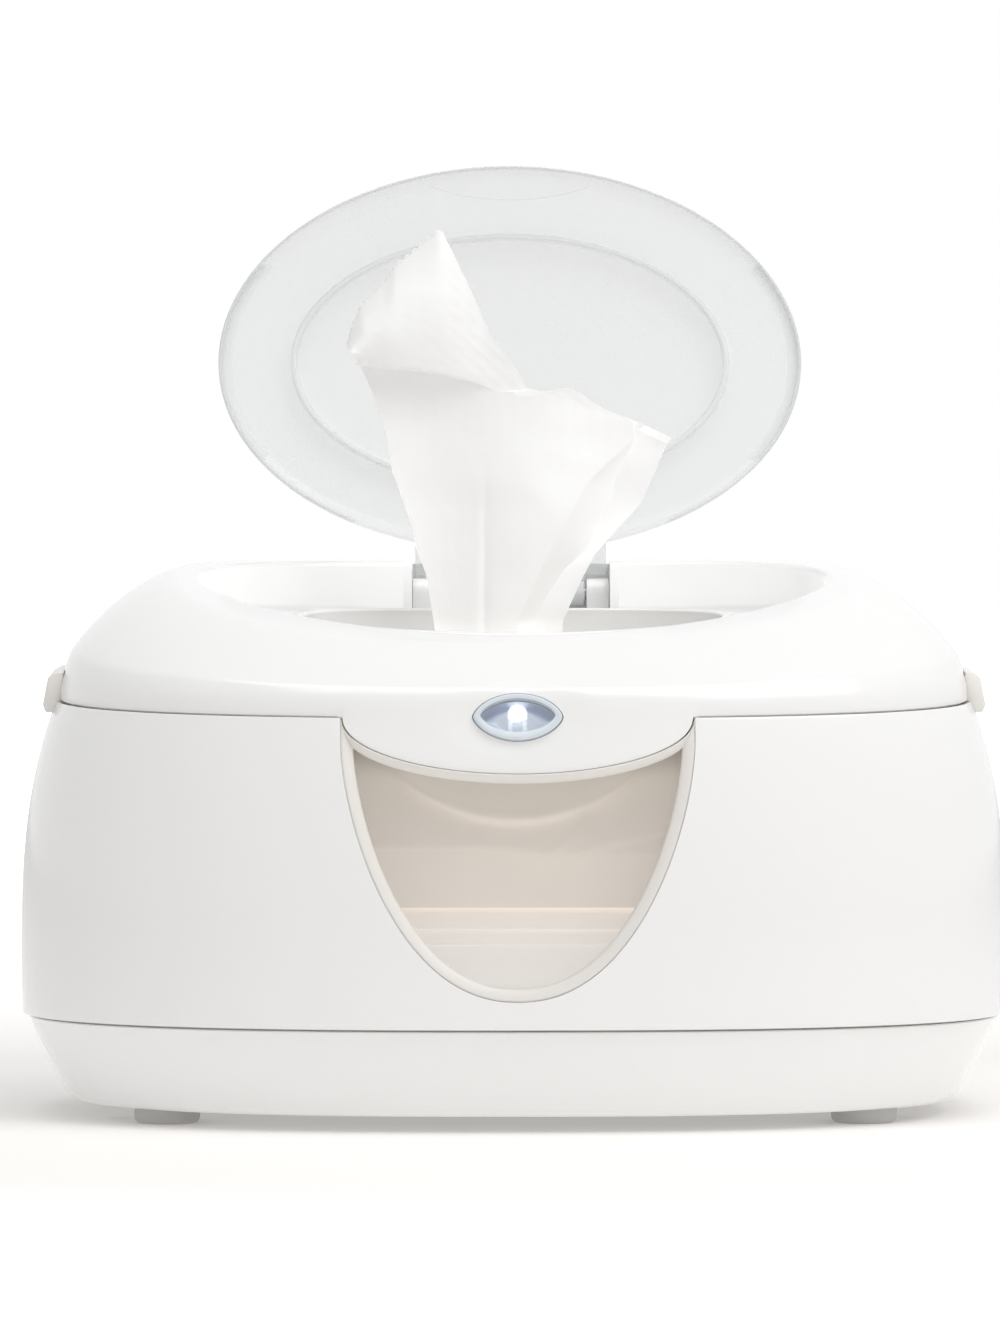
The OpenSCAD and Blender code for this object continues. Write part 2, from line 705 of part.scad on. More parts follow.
pcb_top = -9;
pcb_t = 1.6;
post_span = 19;
module lid_shell() {
    web = 7;
    color("white") difference() {
        union() {
            difference() {
                skin_loop([
                    lid_edge_ring(0), side_foot_ring(0), shoulder_ring(0, 0), shoulder_ring(14, 0),
                    shoulder_ring(28, 0),
                    shoulder_ring(42, 0), shoulder_ring(56, 0), shoulder_ring(70, 0), shoulder_ring(90, 0),
                    oval_top_ring(dish_w + 2 * dish_rim, dish_d + 2 * dish_rim, 0),
                    oval_top_ring(dish_w, dish_d, dish_rim),
                    oval_floor_ring(dish_w - 2, dish_d - 2, 0),
                    oval_floor_ring(mouth_w + 2 * lip_t, mouth_d + 2 * lip_t, 0),
                    oval_floor_ring(mouth_w + 2 * lip_t, mouth_d + 2 * lip_t, lip_h),
                    oval_floor_ring(mouth_w, mouth_d, lip_h),
                    oval_seam_ring(mouth_w, mouth_d, cover_bottom + 0.3),
                    oval_seam_ring(mouth_w + 2 * lip_t - 1, mouth_d + 2 * lip_t - 1, cover_bottom + 0.3),
                    oval_floor_ring(mouth_w + 2 * lip_t - 1, mouth_d + 2 * lip_t - 1, -wall),
                    oval_floor_ring(dish_w + 2 * wall - 3, dish_d + 2 * wall - 3, -wall),
                    oval_top_ring(dish_w + 2 * wall - 1, dish_d + 2 * wall - 1, wall),
                    shoulder_ring(84, wall), shoulder_ring(60, wall), shoulder_ring(35, wall),
                    shoulder_ring(0, wall), side_foot_ring(wall), lid_edge_ring(wall)
                ]);
                at_seam() hinge_clear();
            }
            // Bosses for the cover screws, and the floor and walls of the flip hinge pocket
            intersection() {
                lid_core();
                union() {
                    at_seam() for (p = boss_pts) translate([p[0], p[1], boss_foot + 0.1]) cylinder(r = boss_r, h = 40);
                    difference() {
                        translate([-pocket_w / 2 - wall, pocket_d0 - wall, pocket_floor - wall])
                            cube([pocket_w + 2 * wall, pocket_back + 2 * wall - pocket_d0, 40]);
                        dish_space();
                    }
                }
            }
            at_seam() for (s = [-1, 1]) translate([s * hinge_x, 0, 0]) {
                translate([0, hinge_y, 0]) hinge_knuckle(knuckle_l);
                translate([-knuckle_l / 2, hinge_y - 4.8, 0.3]) cube([knuckle_l, 5.2, web]);
            }
            // Posts that carry the circuit board behind the front wall
            at_button() for (s = [-1, 1])
                translate([s * post_span, 0, pcb_top]) cylinder(r = 2, h = -pcb_top - wall / 2);
        }
        // Pocket, open to the dish
        translate([-pocket_w / 2, pocket_d0, pocket_floor]) cube([pocket_w, pocket_back - pocket_d0, 40]);
        at_seam() {
            for (p = boss_pts) translate([p[0], p[1], 0]) cylinder(r = screw_r + run_gap, h = boss_foot + 7);
            hinge_bore();
            translate([0, hinge_y - 8, socket_z]) rotate([-90, 0, 0]) cylinder(r = socket_r + 0.2, h = 20);
            tab_notch();
        }
        at_button() translate([0, 0, -wall * 2])
            linear_extrude(wall * 4) pointed_oval(button_w + 2 * fit_gap, button_h + 2 * fit_gap);
    }
    // Ears of the flip hinge
    color("white") difference() {
        for (s = [-1, 1]) translate([s * (pocket_w / 2 - ear_w / 2), flip_y, flip_z]) {
            rotate([0, 90, 0]) cylinder(r = ear_r, h = ear_w, center = true);
            translate([-ear_w / 2, -ear_r, pocket_floor - flip_z]) cube([ear_w, 2 * ear_r - 0.3, flip_z - pocket_floor]);
        }
        translate([0, flip_y, flip_z]) rotate([0, 90, 0])
            cylinder(r = flip_pin_r + run_gap, h = pocket_w - 0.4, center = true);
    }
}

heater_w = mouth_w + 34;
heater_d = mouth_d + 30;
pocket_in = 2 * (lip_t + 2.2);
plate_t = 1;
element_t = 1.6;
platform_top = cover_bottom + plate_t + element_t + 0.3 + cover_t;
module lid_inner_cover() {
    color("whitesmoke") at_seam() difference() {
        union() {
            translate([0, 0, cover_bottom]) linear_extrude(cover_t)
                outline(half_w(seam_z + 4) - lid_step - wall - 0.6, half_d(seam_z + 4) - lid_step - wall - 0.6);
            translate([0, 0, cover_bottom]) linear_extrude(platform_top - cover_bottom)
                oval(heater_w + 8, heater_d + 8);
            for (s = [-1, 1]) translate([s * (spring_from - 1.2) - 1, -6, cover_bottom + cover_t - 0.5])
                cube([2, 12, 6]);
            for (p = boss_pts) translate([p[0], p[1], cover_bottom]) cylinder(r = 5, h = boss_foot - cover_bottom);
        }
        translate([0, 0, -1]) linear_extrude(platform_top + 2)
            oval(mouth_w + 2 * lip_t - 1 + 2 * fit_gap, mouth_d + 2 * lip_t - 1 + 2 * fit_gap);
        translate([0, 0, cover_bottom - 1]) linear_extrude(platform_top - cover_t - cover_bottom + 1)
            difference() {
                oval(heater_w, heater_d);
                oval(mouth_w + pocket_in, mouth_d + pocket_in);
            }
        translate([-(post_span + 8), -body_d, -1]) cube([2 * (post_span + 8), half_d0 + 21, 10]);
        for (p = boss_pts) translate([p[0], p[1], cover_bottom - 1]) {
            cylinder(r = screw_r + 0.3, h = 10);
            cylinder(r = screw_head_r + 0.3, h = sunk + 1);
        }
    }
}
module heater_plate() {
    color("silver") at_seam() translate([0, 0, cover_bottom + 0.1]) linear_extrude(plate_t) difference() {
        oval(heater_w - 0.6, heater_d - 0.6);
        oval(mouth_w + pocket_in + 0.6, mouth_d + pocket_in + 0.6);
    }
}
module heater_element() {
    color("sienna") at_seam() translate([0, 0, cover_bottom + 0.1 + plate_t]) linear_extrude(element_t)
        difference() {
            oval(heater_w - 4, heater_d - 4);
            oval(mouth_w + pocket_in + 4, mouth_d + pocket_in + 4);
        }
}
part_ring_y = (mouth_d + pocket_in + heater_d) / 4;
module thermostat() {
    color("dimgray") at_seam() translate([0, part_ring_y + 1, platform_top]) {
        cylinder(d = 12, h = 3.4);
        translate([-9, -3, 0]) cube([18, 6, 1.4]);
    }
}
module thermal_fuse() {
    color("silver") at_seam() translate([0, -part_ring_y - 1, platform_top + 1.6])
        rotate([0, 90, 0]) cylinder(d = 3.2, h = 11, center = true);
}
module circuit_board() {
    color("seagreen") at_button() translate([0, 0, pcb_top - pcb_t])
        linear_extrude(pcb_t) rounded_rect(2 * post_span + 6, 16, 2);
}

lens_t = 1.2;
lens_flange = 2.2;
flange_near = -wall - 1.5;
flange_far = flange_near - 1.6;
lens_hollow_w = button_w - 3;
lens_hollow_h = button_h - 2.6;
module light_button() {
    color("lightsteelblue", 0.5) at_button() difference() {
        union() {
            translate([0, 0, flange_far]) linear_extrude(0.6 - flange_far) pointed_oval(button_w, button_h);
            translate([0, 0, flange_far]) linear_extrude(flange_near - flange_far) {
                pointed_oval(button_w + 2 * lens_flange, button_h + 2 * lens_flange);
                square([2 * post_span - 7, 5], center = true);
            }
        }
        translate([0, 0, flange_far - 1]) linear_extrude(1 - flange_far - lens_t + 0.3)
            pointed_oval(lens_hollow_w, lens_hollow_h);
    }
}
// The lamp stands upright behind the lens, held by its two legs, in a silvered cup
reflector_rim = 0.3 - lens_t - button_travel - 0.9;
led_z = reflector_rim - 0.3 - led_d / 2;
led_h = 8;
led_foot = -led_h / 2 + 0.3;
leg_gap = 2.54;
cup_floor = led_z - led_d / 2 - 0.9;
module reflector() {
    color("lightslategray") at_button() difference() {
        translate([0, 0, pcb_top + 0.1]) linear_extrude(reflector_rim - pcb_top - 0.1)
            pointed_oval(lens_hollow_w - 1.2, lens_hollow_h - 1.2);
        translate([0, 0, cup_floor]) linear_extrude(20) pointed_oval(lens_hollow_w - 3.2, lens_hollow_h - 3);
        for (x = [-1, 1]) translate([x * leg_gap / 2, led_foot + 0.5, pcb_top - 1]) cylinder(d = 1.1, h = 20);
        translate([-led_d / 2 - 0.8, led_foot - 0.3, led_z - led_d / 2 - 0.5]) cube([led_d + 1.6, led_h + 0.9, 10]);
    }
}
module led() {
    color("white") at_button() {
        translate([0, led_foot, led_z]) rotate([-90, 0, 0]) rotate_extrude() union() {
            square([led_d / 2, led_h - led_d / 2]);
            square([led_d / 2 + 0.4, 1]);
            translate([0, led_h - led_d / 2]) intersection() {
                circle(d = led_d);
                square(led_d);
            }
        }
        for (x = [-1, 1]) translate([x * leg_gap / 2, led_foot + 0.5, pcb_top + 0.1])
            cylinder(d = 0.6, h = led_z - pcb_top);
    }
}
module button_switch() {
    color("dimgray") at_button() translate([0, -lens_hollow_h / 2 - 1.9, pcb_top]) {
        translate([-2.2, -1.4, 0]) cube([4.4, 2.8, 2.2]);
        cylinder(d = 1.8, h = flange_far - button_travel - 0.1 - pcb_top);
    }
}
module button_pads() {
    color("gray") at_button() for (s = [-1, 1])
        translate([s * (post_span - 4.6), 0, pcb_top]) cylinder(r1 = 1.7, r2 = 1.2, h = flange_far - 0.1 - pcb_top);
}

socket_l = 16;
module power_socket() {
    color("dimgray") at_seam() translate([0, hinge_y - 2.2, socket_z]) rotate([90, 0, 0]) difference() {
        union() {
            cylinder(r = socket_r, h = socket_l);
            translate([0, 0, 5.6]) cylinder(r = socket_r + 0.8, h = 1.5);
            translate([-5, -5, 6]) cube([10, 10, socket_l - 6]);
        }
        translate([0, 0, -1]) cylinder(r = 2.85, h = 10.5);
        translate([0, 0, -1]) cylinder(r = 1.05, h = 20);
    }
}
module socket_contact() {
    color("silver") at_seam() translate([0, hinge_y - 3.4, socket_z]) rotate([90, 0, 0]) cylinder(r = 1, h = socket_l);
}
// The lead pair from the socket round the heater to the circuit board
lead_r = 1;
lead_route = [
    [3, 66, 8], [10, 63.5, 5.4], [22, 60.5, 3.9], [40, 56, 3.9], [58, 47, 3.9], [74, 34, 3.9], [83, 18, 3.9],
    [86, 0, 3.9], [83, -18, 3.9], [74, -34, 3.9], [60, -45, 3.9], [44, -54, 3.9], [30, -61, 4.4], [20, -67, 4.4],
    [16, -70.4, 4.4]
];
module lid_leads() {
    n = 8;
    last = len(lead_route) - 1;
    function way(i) =
        let (d = lead_route[min(i + 1, last)] - lead_route[max(i - 1, 0)]) d / norm(d);
    function ring(i) =
        let (w = way(i), s = cross(w, [0, 0, 1]) / norm(cross(w, [0, 0, 1])), u = cross(s, w))
        [for (k = [0:n - 1]) lead_route[i] + lead_r * (s * cos(360 * k / n) + u * sin(360 * k / n))];
    color("black") at_seam()
        skin_capped([for (i = [0:last]) ring(i)], lead_route[0], lead_route[last]);
}
module cover_screws() {
    color("silver") at_seam() for (p = boss_pts) translate([p[0], p[1], cover_bottom + sunk]) screw(8);
}
module flip_hinge_pin() {
    color("silver") translate([0, flip_y, flip_z]) rotate([0, 90, 0])
        cylinder(r = flip_pin_r, h = pocket_w - 0.8, center = true);
}

// Release tabs: a grey wedge in a notch across the seam, pushed in against a coil spring
tab_high = 7.5;
tab_low = -3.1;
tab_in = 2.3;
tab_x = half_w(seam_z);
shank_in = tab_x - 9.6;
shank_low = cover_bottom + cover_t + 0.3;
shank_high = 6.6;
keeper_x = tab_x - lid_step - wall - 4.4;
spring_from = tab_x - 18.9;
module tab_notch() {
    for (s = [-1, 1])
        translate([s * tab_x - 15, -tab_l / 2 - fit_gap, tab_low - fit_gap])
            cube([30, tab_l + 2 * fit_gap, tab_high - tab_low + 2 * fit_gap]);
}
module release_tab() {
    at_seam() {
        rotate([90, 0, 0]) linear_extrude(tab_l, center = true) translate([tab_x, 0]) polygon([
            [-tab_in, tab_high], [-0.6, tab_high], [tab_out - 1.4, tab_high - 1.4],
            [tab_out, -1.1], [tab_out - 0.7, tab_low], [-tab_in, tab_low]
        ]);
        translate([shank_in, -tab_l / 2 + 2.4, shank_low])
            cube([tab_x - tab_in + 0.1 - shank_in, tab_l - 4.8, shank_high - shank_low]);
        translate([keeper_x, -tab_l / 2 - 2.5, shank_low]) cube([2, tab_l + 5, shank_high - shank_low]);
    }
}
module right_release_tab() { color("darkgray") release_tab(); }
module left_release_tab() { color("darkgray") mirror([1, 0, 0]) release_tab(); }
// A coil of round wire with flat rings as its ends
module coil(r, wire, turns, l) {
    n = 12 * turns;
    sides = 6;
    function c(i) = [l * i / n, r * cos(30 * i), r * sin(30 * i)];
    function ring(i) =
        let (o = [0, cos(30 * i), sin(30 * i)])
        [for (k = [0:sides - 1]) c(i) + wire * (o * cos(60 * k) + [1, 0, 0] * sin(60 * k))];
    skin_capped([for (i = [0:n]) ring(i)], c(0), c(n));
}
module release_springs() {
    spring_wire = 0.4;
    spring_l = shank_in - spring_from - 0.2 - 2 * spring_wire;
    color("silver") at_seam() for (s = [0, 1]) mirror([s, 0, 0])
        translate([spring_from + 0.1 + spring_wire, 0, (shank_low + shank_high) / 2])
            coil(1.6, spring_wire, 4, spring_l);
}

// Flip door: a clear bowed oval with a sealing rib, a thumb grip and a hinge barrel
flip_mid = flip_reach + flip_d / 2;
bow_r = (flip_d * flip_d / 4 + flip_bow * flip_bow) / (2 * flip_bow);
// The solid in front of the door's bowed surface, set back by off
module bow(off) {
    translate([0, flip_mid, bow_r - flip_bow]) rotate([0, 90, 0])
        cylinder(r = bow_r + off, h = flip_w + 2, center = true, $fn = 256);
}
module flip_door() {
    neck_w = pocket_w - 1.6;
    barrel_l = 2 * ear_in - 0.8;
    rib_w = mouth_w + 2 * lip_t + 5;
    rib_d = mouth_d + 2 * lip_t + 5;
    rib_mid = (flip_y + flip_rib_h * sin(closed_slope)) / cos(closed_slope);
    bead = 0.7;
    stop_y = 7.7;
    grip_low = 9.2;
    grip_edge = 3.2;
    grip_r = 68;
    grip_depth = 0.5;
    low = flip_bow + 4;
    tall = flip_bow + 12;
    color("gainsboro", 0.5)
        translate([0, flip_y, flip_z]) rotate([90 - flip_lean, 0, 0]) difference() {
            union() {
                // Bowed plate, the bead along its edge, and the rib that goes round the lip
                intersection() {
                    translate([0, flip_mid, -low]) linear_extrude(tall) oval(flip_w, flip_d);
                    difference() {
                        bow(flip_t / 2);
                        bow(-flip_t / 2);
                    }
                }
                intersection() {
                    translate([0, flip_mid, -low]) linear_extrude(tall) oval_ring(flip_w, flip_d, 1.2);
                    difference() {
                        bow(0);
                        bow(-flip_t / 2 - bead);
                    }
                }
                intersection() {
                    translate([0, rib_mid, -low]) linear_extrude(tall) oval_ring(rib_w, rib_d, 1.6);
                    difference() {
                        bow(0);
                        bow(-flip_t / 2 - flip_rib_h);
                    }
                }
                // Neck, with a pad on its back that meets the pocket's edge when open
                translate([0, 0, -flip_t / 2]) linear_extrude(flip_t) {
                    translate([-neck_w / 2, ear_r + 1]) square([neck_w, flip_reach - 1]);
                    translate([-barrel_l / 2, 0]) square([barrel_l, ear_r + 2]);
                }
                rotate([0, 90, 0]) cylinder(r = barrel_r, h = barrel_l, center = true);
                translate([-12, stop_y, -flip_t / 2 - 0.6]) cube([24, 2, 1]);
            }
            rotate([0, 90, 0]) cylinder(r = flip_pin_r + run_gap, h = barrel_l + 1, center = true);
            // Thumb grip: a shallow hollow under the top edge, with a sagging lower side
            intersection() {
                translate([0, flip_mid, -low]) linear_extrude(tall) intersection() {
                    oval(flip_w - 2 * grip_edge, flip_d - 2 * grip_edge);
                    translate([0, flip_d / 2 - grip_low + grip_r]) circle(grip_r);
                }
                bow(grip_depth - flip_t / 2);
            }
        }
}

base_tray();
body_shell();
inner_tub();
window_frame();
window_pane();
tub_gasket();
wipe_stack();
feet();
base_screws();
lid_hinge_pins();
lid_shell();
lid_inner_cover();
heater_plate();
heater_element();
thermostat();
thermal_fuse();
circuit_board();
led();
reflector();
button_switch();
button_pads();
power_socket();
socket_contact();
lid_leads();
cover_screws();
flip_hinge_pin();
release_springs();
pulled_wipe();
flip_door();
light_button();
left_release_tab();
right_release_tab();
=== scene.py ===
"""The looks of a baby wipe warmer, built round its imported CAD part.

Metres, +Z up. X is the width, -Y is the front with the window, and the origin is on
the table under the middle of the housing.
"""

import json
import logging
import math
from dataclasses import dataclass, field
from enum import Enum
from typing import Callable, Iterable, Sequence

import bmesh
import bpy
import numpy as np
from mathutils import Matrix, Vector

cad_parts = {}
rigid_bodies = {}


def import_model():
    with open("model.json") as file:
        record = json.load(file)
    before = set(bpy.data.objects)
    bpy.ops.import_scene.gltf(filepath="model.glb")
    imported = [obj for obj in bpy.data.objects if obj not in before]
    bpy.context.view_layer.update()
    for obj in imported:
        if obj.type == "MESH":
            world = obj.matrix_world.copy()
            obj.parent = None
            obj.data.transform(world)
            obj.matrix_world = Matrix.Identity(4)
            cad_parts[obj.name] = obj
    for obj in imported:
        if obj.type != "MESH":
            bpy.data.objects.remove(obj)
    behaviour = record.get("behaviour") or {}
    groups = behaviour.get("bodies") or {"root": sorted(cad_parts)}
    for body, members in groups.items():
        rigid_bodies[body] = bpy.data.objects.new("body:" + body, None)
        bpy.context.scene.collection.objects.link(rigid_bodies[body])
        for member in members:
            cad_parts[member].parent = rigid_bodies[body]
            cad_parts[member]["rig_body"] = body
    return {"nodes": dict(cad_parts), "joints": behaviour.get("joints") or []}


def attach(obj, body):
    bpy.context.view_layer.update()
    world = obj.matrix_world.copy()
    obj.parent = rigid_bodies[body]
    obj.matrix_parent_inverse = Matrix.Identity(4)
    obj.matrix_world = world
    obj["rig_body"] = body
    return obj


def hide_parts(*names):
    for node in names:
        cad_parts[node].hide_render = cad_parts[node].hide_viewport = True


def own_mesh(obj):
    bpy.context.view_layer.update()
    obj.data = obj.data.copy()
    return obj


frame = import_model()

log = logging.getLogger("wipe_warmer")
MM = 0.001
# Mesh attribute for how thick a clear piece is and how strongly it glows: the lamp's real glow, or painted light
# elsewhere.
MARK = "thick"
Points = np.ndarray


def mesh_object(name: str, points: Points, faces: Iterable[Sequence[int]]) -> bpy.types.Object:
    """Make a mesh object from points and faces.

    Args:
        name: Name of the object and its mesh.
        points: The corners, one row each, in metres.
        faces: The corner numbers of each face.

    Returns:
        The new object, linked to the scene.
    """
    mesh = bpy.data.meshes.new(name)
    mesh.from_pydata([tuple(map(float, p)) for p in points], [], [tuple(map(int, f)) for f in faces])
    mesh.update()
    obj = bpy.data.objects.new(name, mesh)
    bpy.context.scene.collection.objects.link(obj)
    return obj


def grid_faces(rows: int, columns: int, wrap: bool, loop: bool) -> list[tuple[int, int, int, int]]:
    """List the faces between rows of points.

    Args:
        rows: How many rows there are.
        columns: How many points each row has.
        wrap: Whether the last point of a row joins its first.
        loop: Whether the last row joins the first.

    Returns:
        The four corner numbers of each face.
    """
    faces = []
    for i in range(rows if loop else rows - 1):
        for j in range(columns if wrap else columns - 1):
            k, m = (i + 1) % rows, (j + 1) % columns
            faces.append((i * columns + j, i * columns + m, k * columns + m, k * columns + j))
    return faces


def skin(
    name: str,
    rings: Sequence[Points],
    loop: bool = False,
    first: Sequence[float] | None = None,
    last: Sequence[float] | None = None,
) -> bpy.types.Object:
    """Make a surface through closed rings of points.

    Args:
        name: Name of the object.
        rings: Rings with the same number of points each.
        loop: Whether the last ring joins the first.
        first: A point that closes the first ring with a fan.
        last: A point that closes the last ring with a fan.

    Returns:
        The new object.
    """
    count = len(rings[0])
    points = np.vstack(rings)
    faces: list[tuple[int, ...]] = list(grid_faces(len(rings), count, True, loop))
    for point, ring, turn in ((first, 0, -1), (last, len(rings) - 1, 1)):
        if point is None:
            continue
        tip = len(points)
        points = np.vstack([points, [point]])
        base = ring * count
        for j in range(count):
            a, b = base + j, base + (j + 1) % count
            faces.append((tip, a, b) if turn > 0 else (tip, b, a))
    return mesh_object(name, points, faces)


def tidy(obj: bpy.types.Object, crease: float = 35.0, weld: float = 1e-6, outward: bool = True) -> bpy.types.Object:
    """Weld a mesh, turn its faces outwards and shade it smooth up to an angle.

    Args:
        obj: The object to work on.
        crease: Angle in degrees above which an edge stays sharp.
        weld: Distance below which two points become one.
        outward: Whether the normals are worked out again.

    Returns:
        The same object.
    """
    work = bmesh.new()
    work.from_mesh(obj.data)
    bmesh.ops.remove_doubles(work, verts=work.verts, dist=weld)
    bmesh.ops.dissolve_degenerate(work, dist=weld, edges=work.edges)
    if outward:
        bmesh.ops.recalc_face_normals(work, faces=work.faces)
    work.to_mesh(obj.data)
    work.free()
    obj.data.shade_smooth()
    obj.data.set_sharp_from_angle(angle=math.radians(crease))
    return obj


def bake(obj: bpy.types.Object) -> bpy.types.Object:
    """Turn an object's modifiers into its mesh.

    Args:
        obj: The object with its modifiers.

    Returns:
        The same object, with a plain mesh.
    """
    graph = bpy.context.evaluated_depsgraph_get()
    mesh = bpy.data.meshes.new_from_object(obj.evaluated_get(graph))
    obj.modifiers.clear()
    obj.data = mesh
    mesh.name = obj.name
    return obj


def soften(obj: bpy.types.Object, width: float, segments: int = 2, angle: float = 35.0) -> bpy.types.Object:
    """Round the sharp edges of a mesh.

    Args:
        obj: The object to round.
        width: Width of the rounding in metres.
        segments: Steps across the rounding.
        angle: Angle in degrees above which an edge is rounded.

    Returns:
        The same object, with the rounding in its mesh.
    """
    bevel = obj.modifiers.new("edges", "BEVEL")
    bevel.width = width
    bevel.segments = segments
    bevel.limit_method = "ANGLE"
    bevel.angle_limit = math.radians(angle)
    bevel.harden_normals = False
    bake(obj)
    obj.data.shade_smooth()
    obj.data.set_sharp_from_angle(angle=math.radians(45))
    return obj


def cut(obj: bpy.types.Object, *tools: bpy.types.Object) -> bpy.types.Object:
    """Cut tools out of an object and delete them.

    Args:
        obj: The closed mesh to cut.
        *tools: Closed meshes to take away.

    Returns:
        The same object, cut.
    """
    for tool in tools:
        step = obj.modifiers.new("cut", "BOOLEAN")
        step.operation = "DIFFERENCE"
        step.solver = "EXACT"
        step.object = tool
    bake(obj)
    for tool in tools:
        bpy.data.objects.remove(tool)
    return obj


def join(name: str, parts: Sequence[bpy.types.Object]) -> bpy.types.Object:
    """Put several meshes into one object and delete the parts.

    Args:
        name: Name of the joined object.
        parts: The objects to join, at the origin.

    Returns:
        The joined object.
    """
    work = bmesh.new()
    for part in parts:
        work.from_mesh(part.data)
    mesh = bpy.data.meshes.new(name)
    work.to_mesh(mesh)
    work.free()
    for part in parts:
        bpy.data.objects.remove(part)
    obj = bpy.data.objects.new(name, mesh)
    bpy.context.scene.collection.objects.link(obj)
    obj.data.shade_smooth()
    obj.data.set_sharp_from_angle(angle=math.radians(35))
    return obj


def turned(obj: bpy.types.Object, place: Matrix) -> bpy.types.Object:
    """Move an object's mesh to its place, so that the object stays at the origin."""
    obj.data.transform(place)
    return obj


def block(name: str, low: Sequence[float], high: Sequence[float]) -> bpy.types.Object:
    """Make a box between two corners.

    Args:
        name: Name of the object.
        low: Lowest corner.
        high: Highest corner.

    Returns:
        The new object.
    """
    points = [(x, y, z) for z in (low[2], high[2]) for y in (low[1], high[1]) for x in (low[0], high[0])]
    faces = [(0, 2, 3, 1), (4, 5, 7, 6), (0, 1, 5, 4), (2, 6, 7, 3), (0, 4, 6, 2), (1, 3, 7, 5)]
    return mesh_object(name, np.array(points), faces)


def lathe(name: str, profile: Sequence[tuple[float, float]], steps: int = 48) -> bpy.types.Object:
    """Turn a profile round the Z axis.

    Args:
        name: Name of the object.
        profile: Radius and height of each point, from the axis back to the axis.
        steps: Steps round the axis.

    Returns:
        The new object, closed and shaded.
    """
    angles = np.linspace(0, 2 * math.pi, steps, endpoint=False)
    rings = [np.column_stack([r * np.cos(angles), r * np.sin(angles), np.full(steps, z)]) for r, z in profile]
    return tidy(skin(name, rings), 30)


def rod(name: str, radius: float, low: float, high: float, edge: float = 0.0, steps: int = 40) -> bpy.types.Object:
    """Make a round rod along Z.

    Args:
        name: Name of the object.
        radius: Radius of the rod.
        low: Height of its lower end.
        high: Height of its upper end.
        edge: Width of the chamfer at both ends.
        steps: Steps round the rod.

    Returns:
        The new object.
    """
    profile = [(0, low), (radius - edge, low), (radius, low + edge), (radius, high - edge), (radius - edge, high)]
    return lathe(name, profile + [(0, high)], steps)


def prism(name: str, outline: Points, low: float, high: float) -> bpy.types.Object:
    """Raise a flat outline along Z.

    Args:
        name: Name of the object.
        outline: Corners in X and Y.
        low: Height of the underside.
        high: Height of the top.

    Returns:
        The new closed object.
    """
    count = len(outline)
    points = np.vstack([np.column_stack([outline, np.full(count, z)]) for z in (low, high)])
    faces: list[tuple[int, ...]] = [(j, (j + 1) % count, count + (j + 1) % count, count + j) for j in range(count)]
    faces += [tuple(reversed(range(count))), tuple(range(count, 2 * count))]
    return tidy(mesh_object(name, points, faces))


class Slot(Enum):
    """The record's material slots."""

    SHELL = "white_shell"
    INNER = "white_inner"
    DOOR = "clear_door"
    PANE = "clear_pane"
    TUB = "tub_plastic"
    CLOTH = "wipe_cloth"
    FOOT = "foot_rubber"
    GREY = "grey_plastic"
    GASKET = "gasket_rubber"
    STEEL = "steel"
    PLATE = "heater_aluminium"
    FOIL = "heater_foil"
    BOARD = "board"
    DARK = "dark_plastic"
    LAMP = "led_white"
    BUTTON = "button_clear"
    MIRROR = "reflector_silver"
    LEAD = "lead_black"


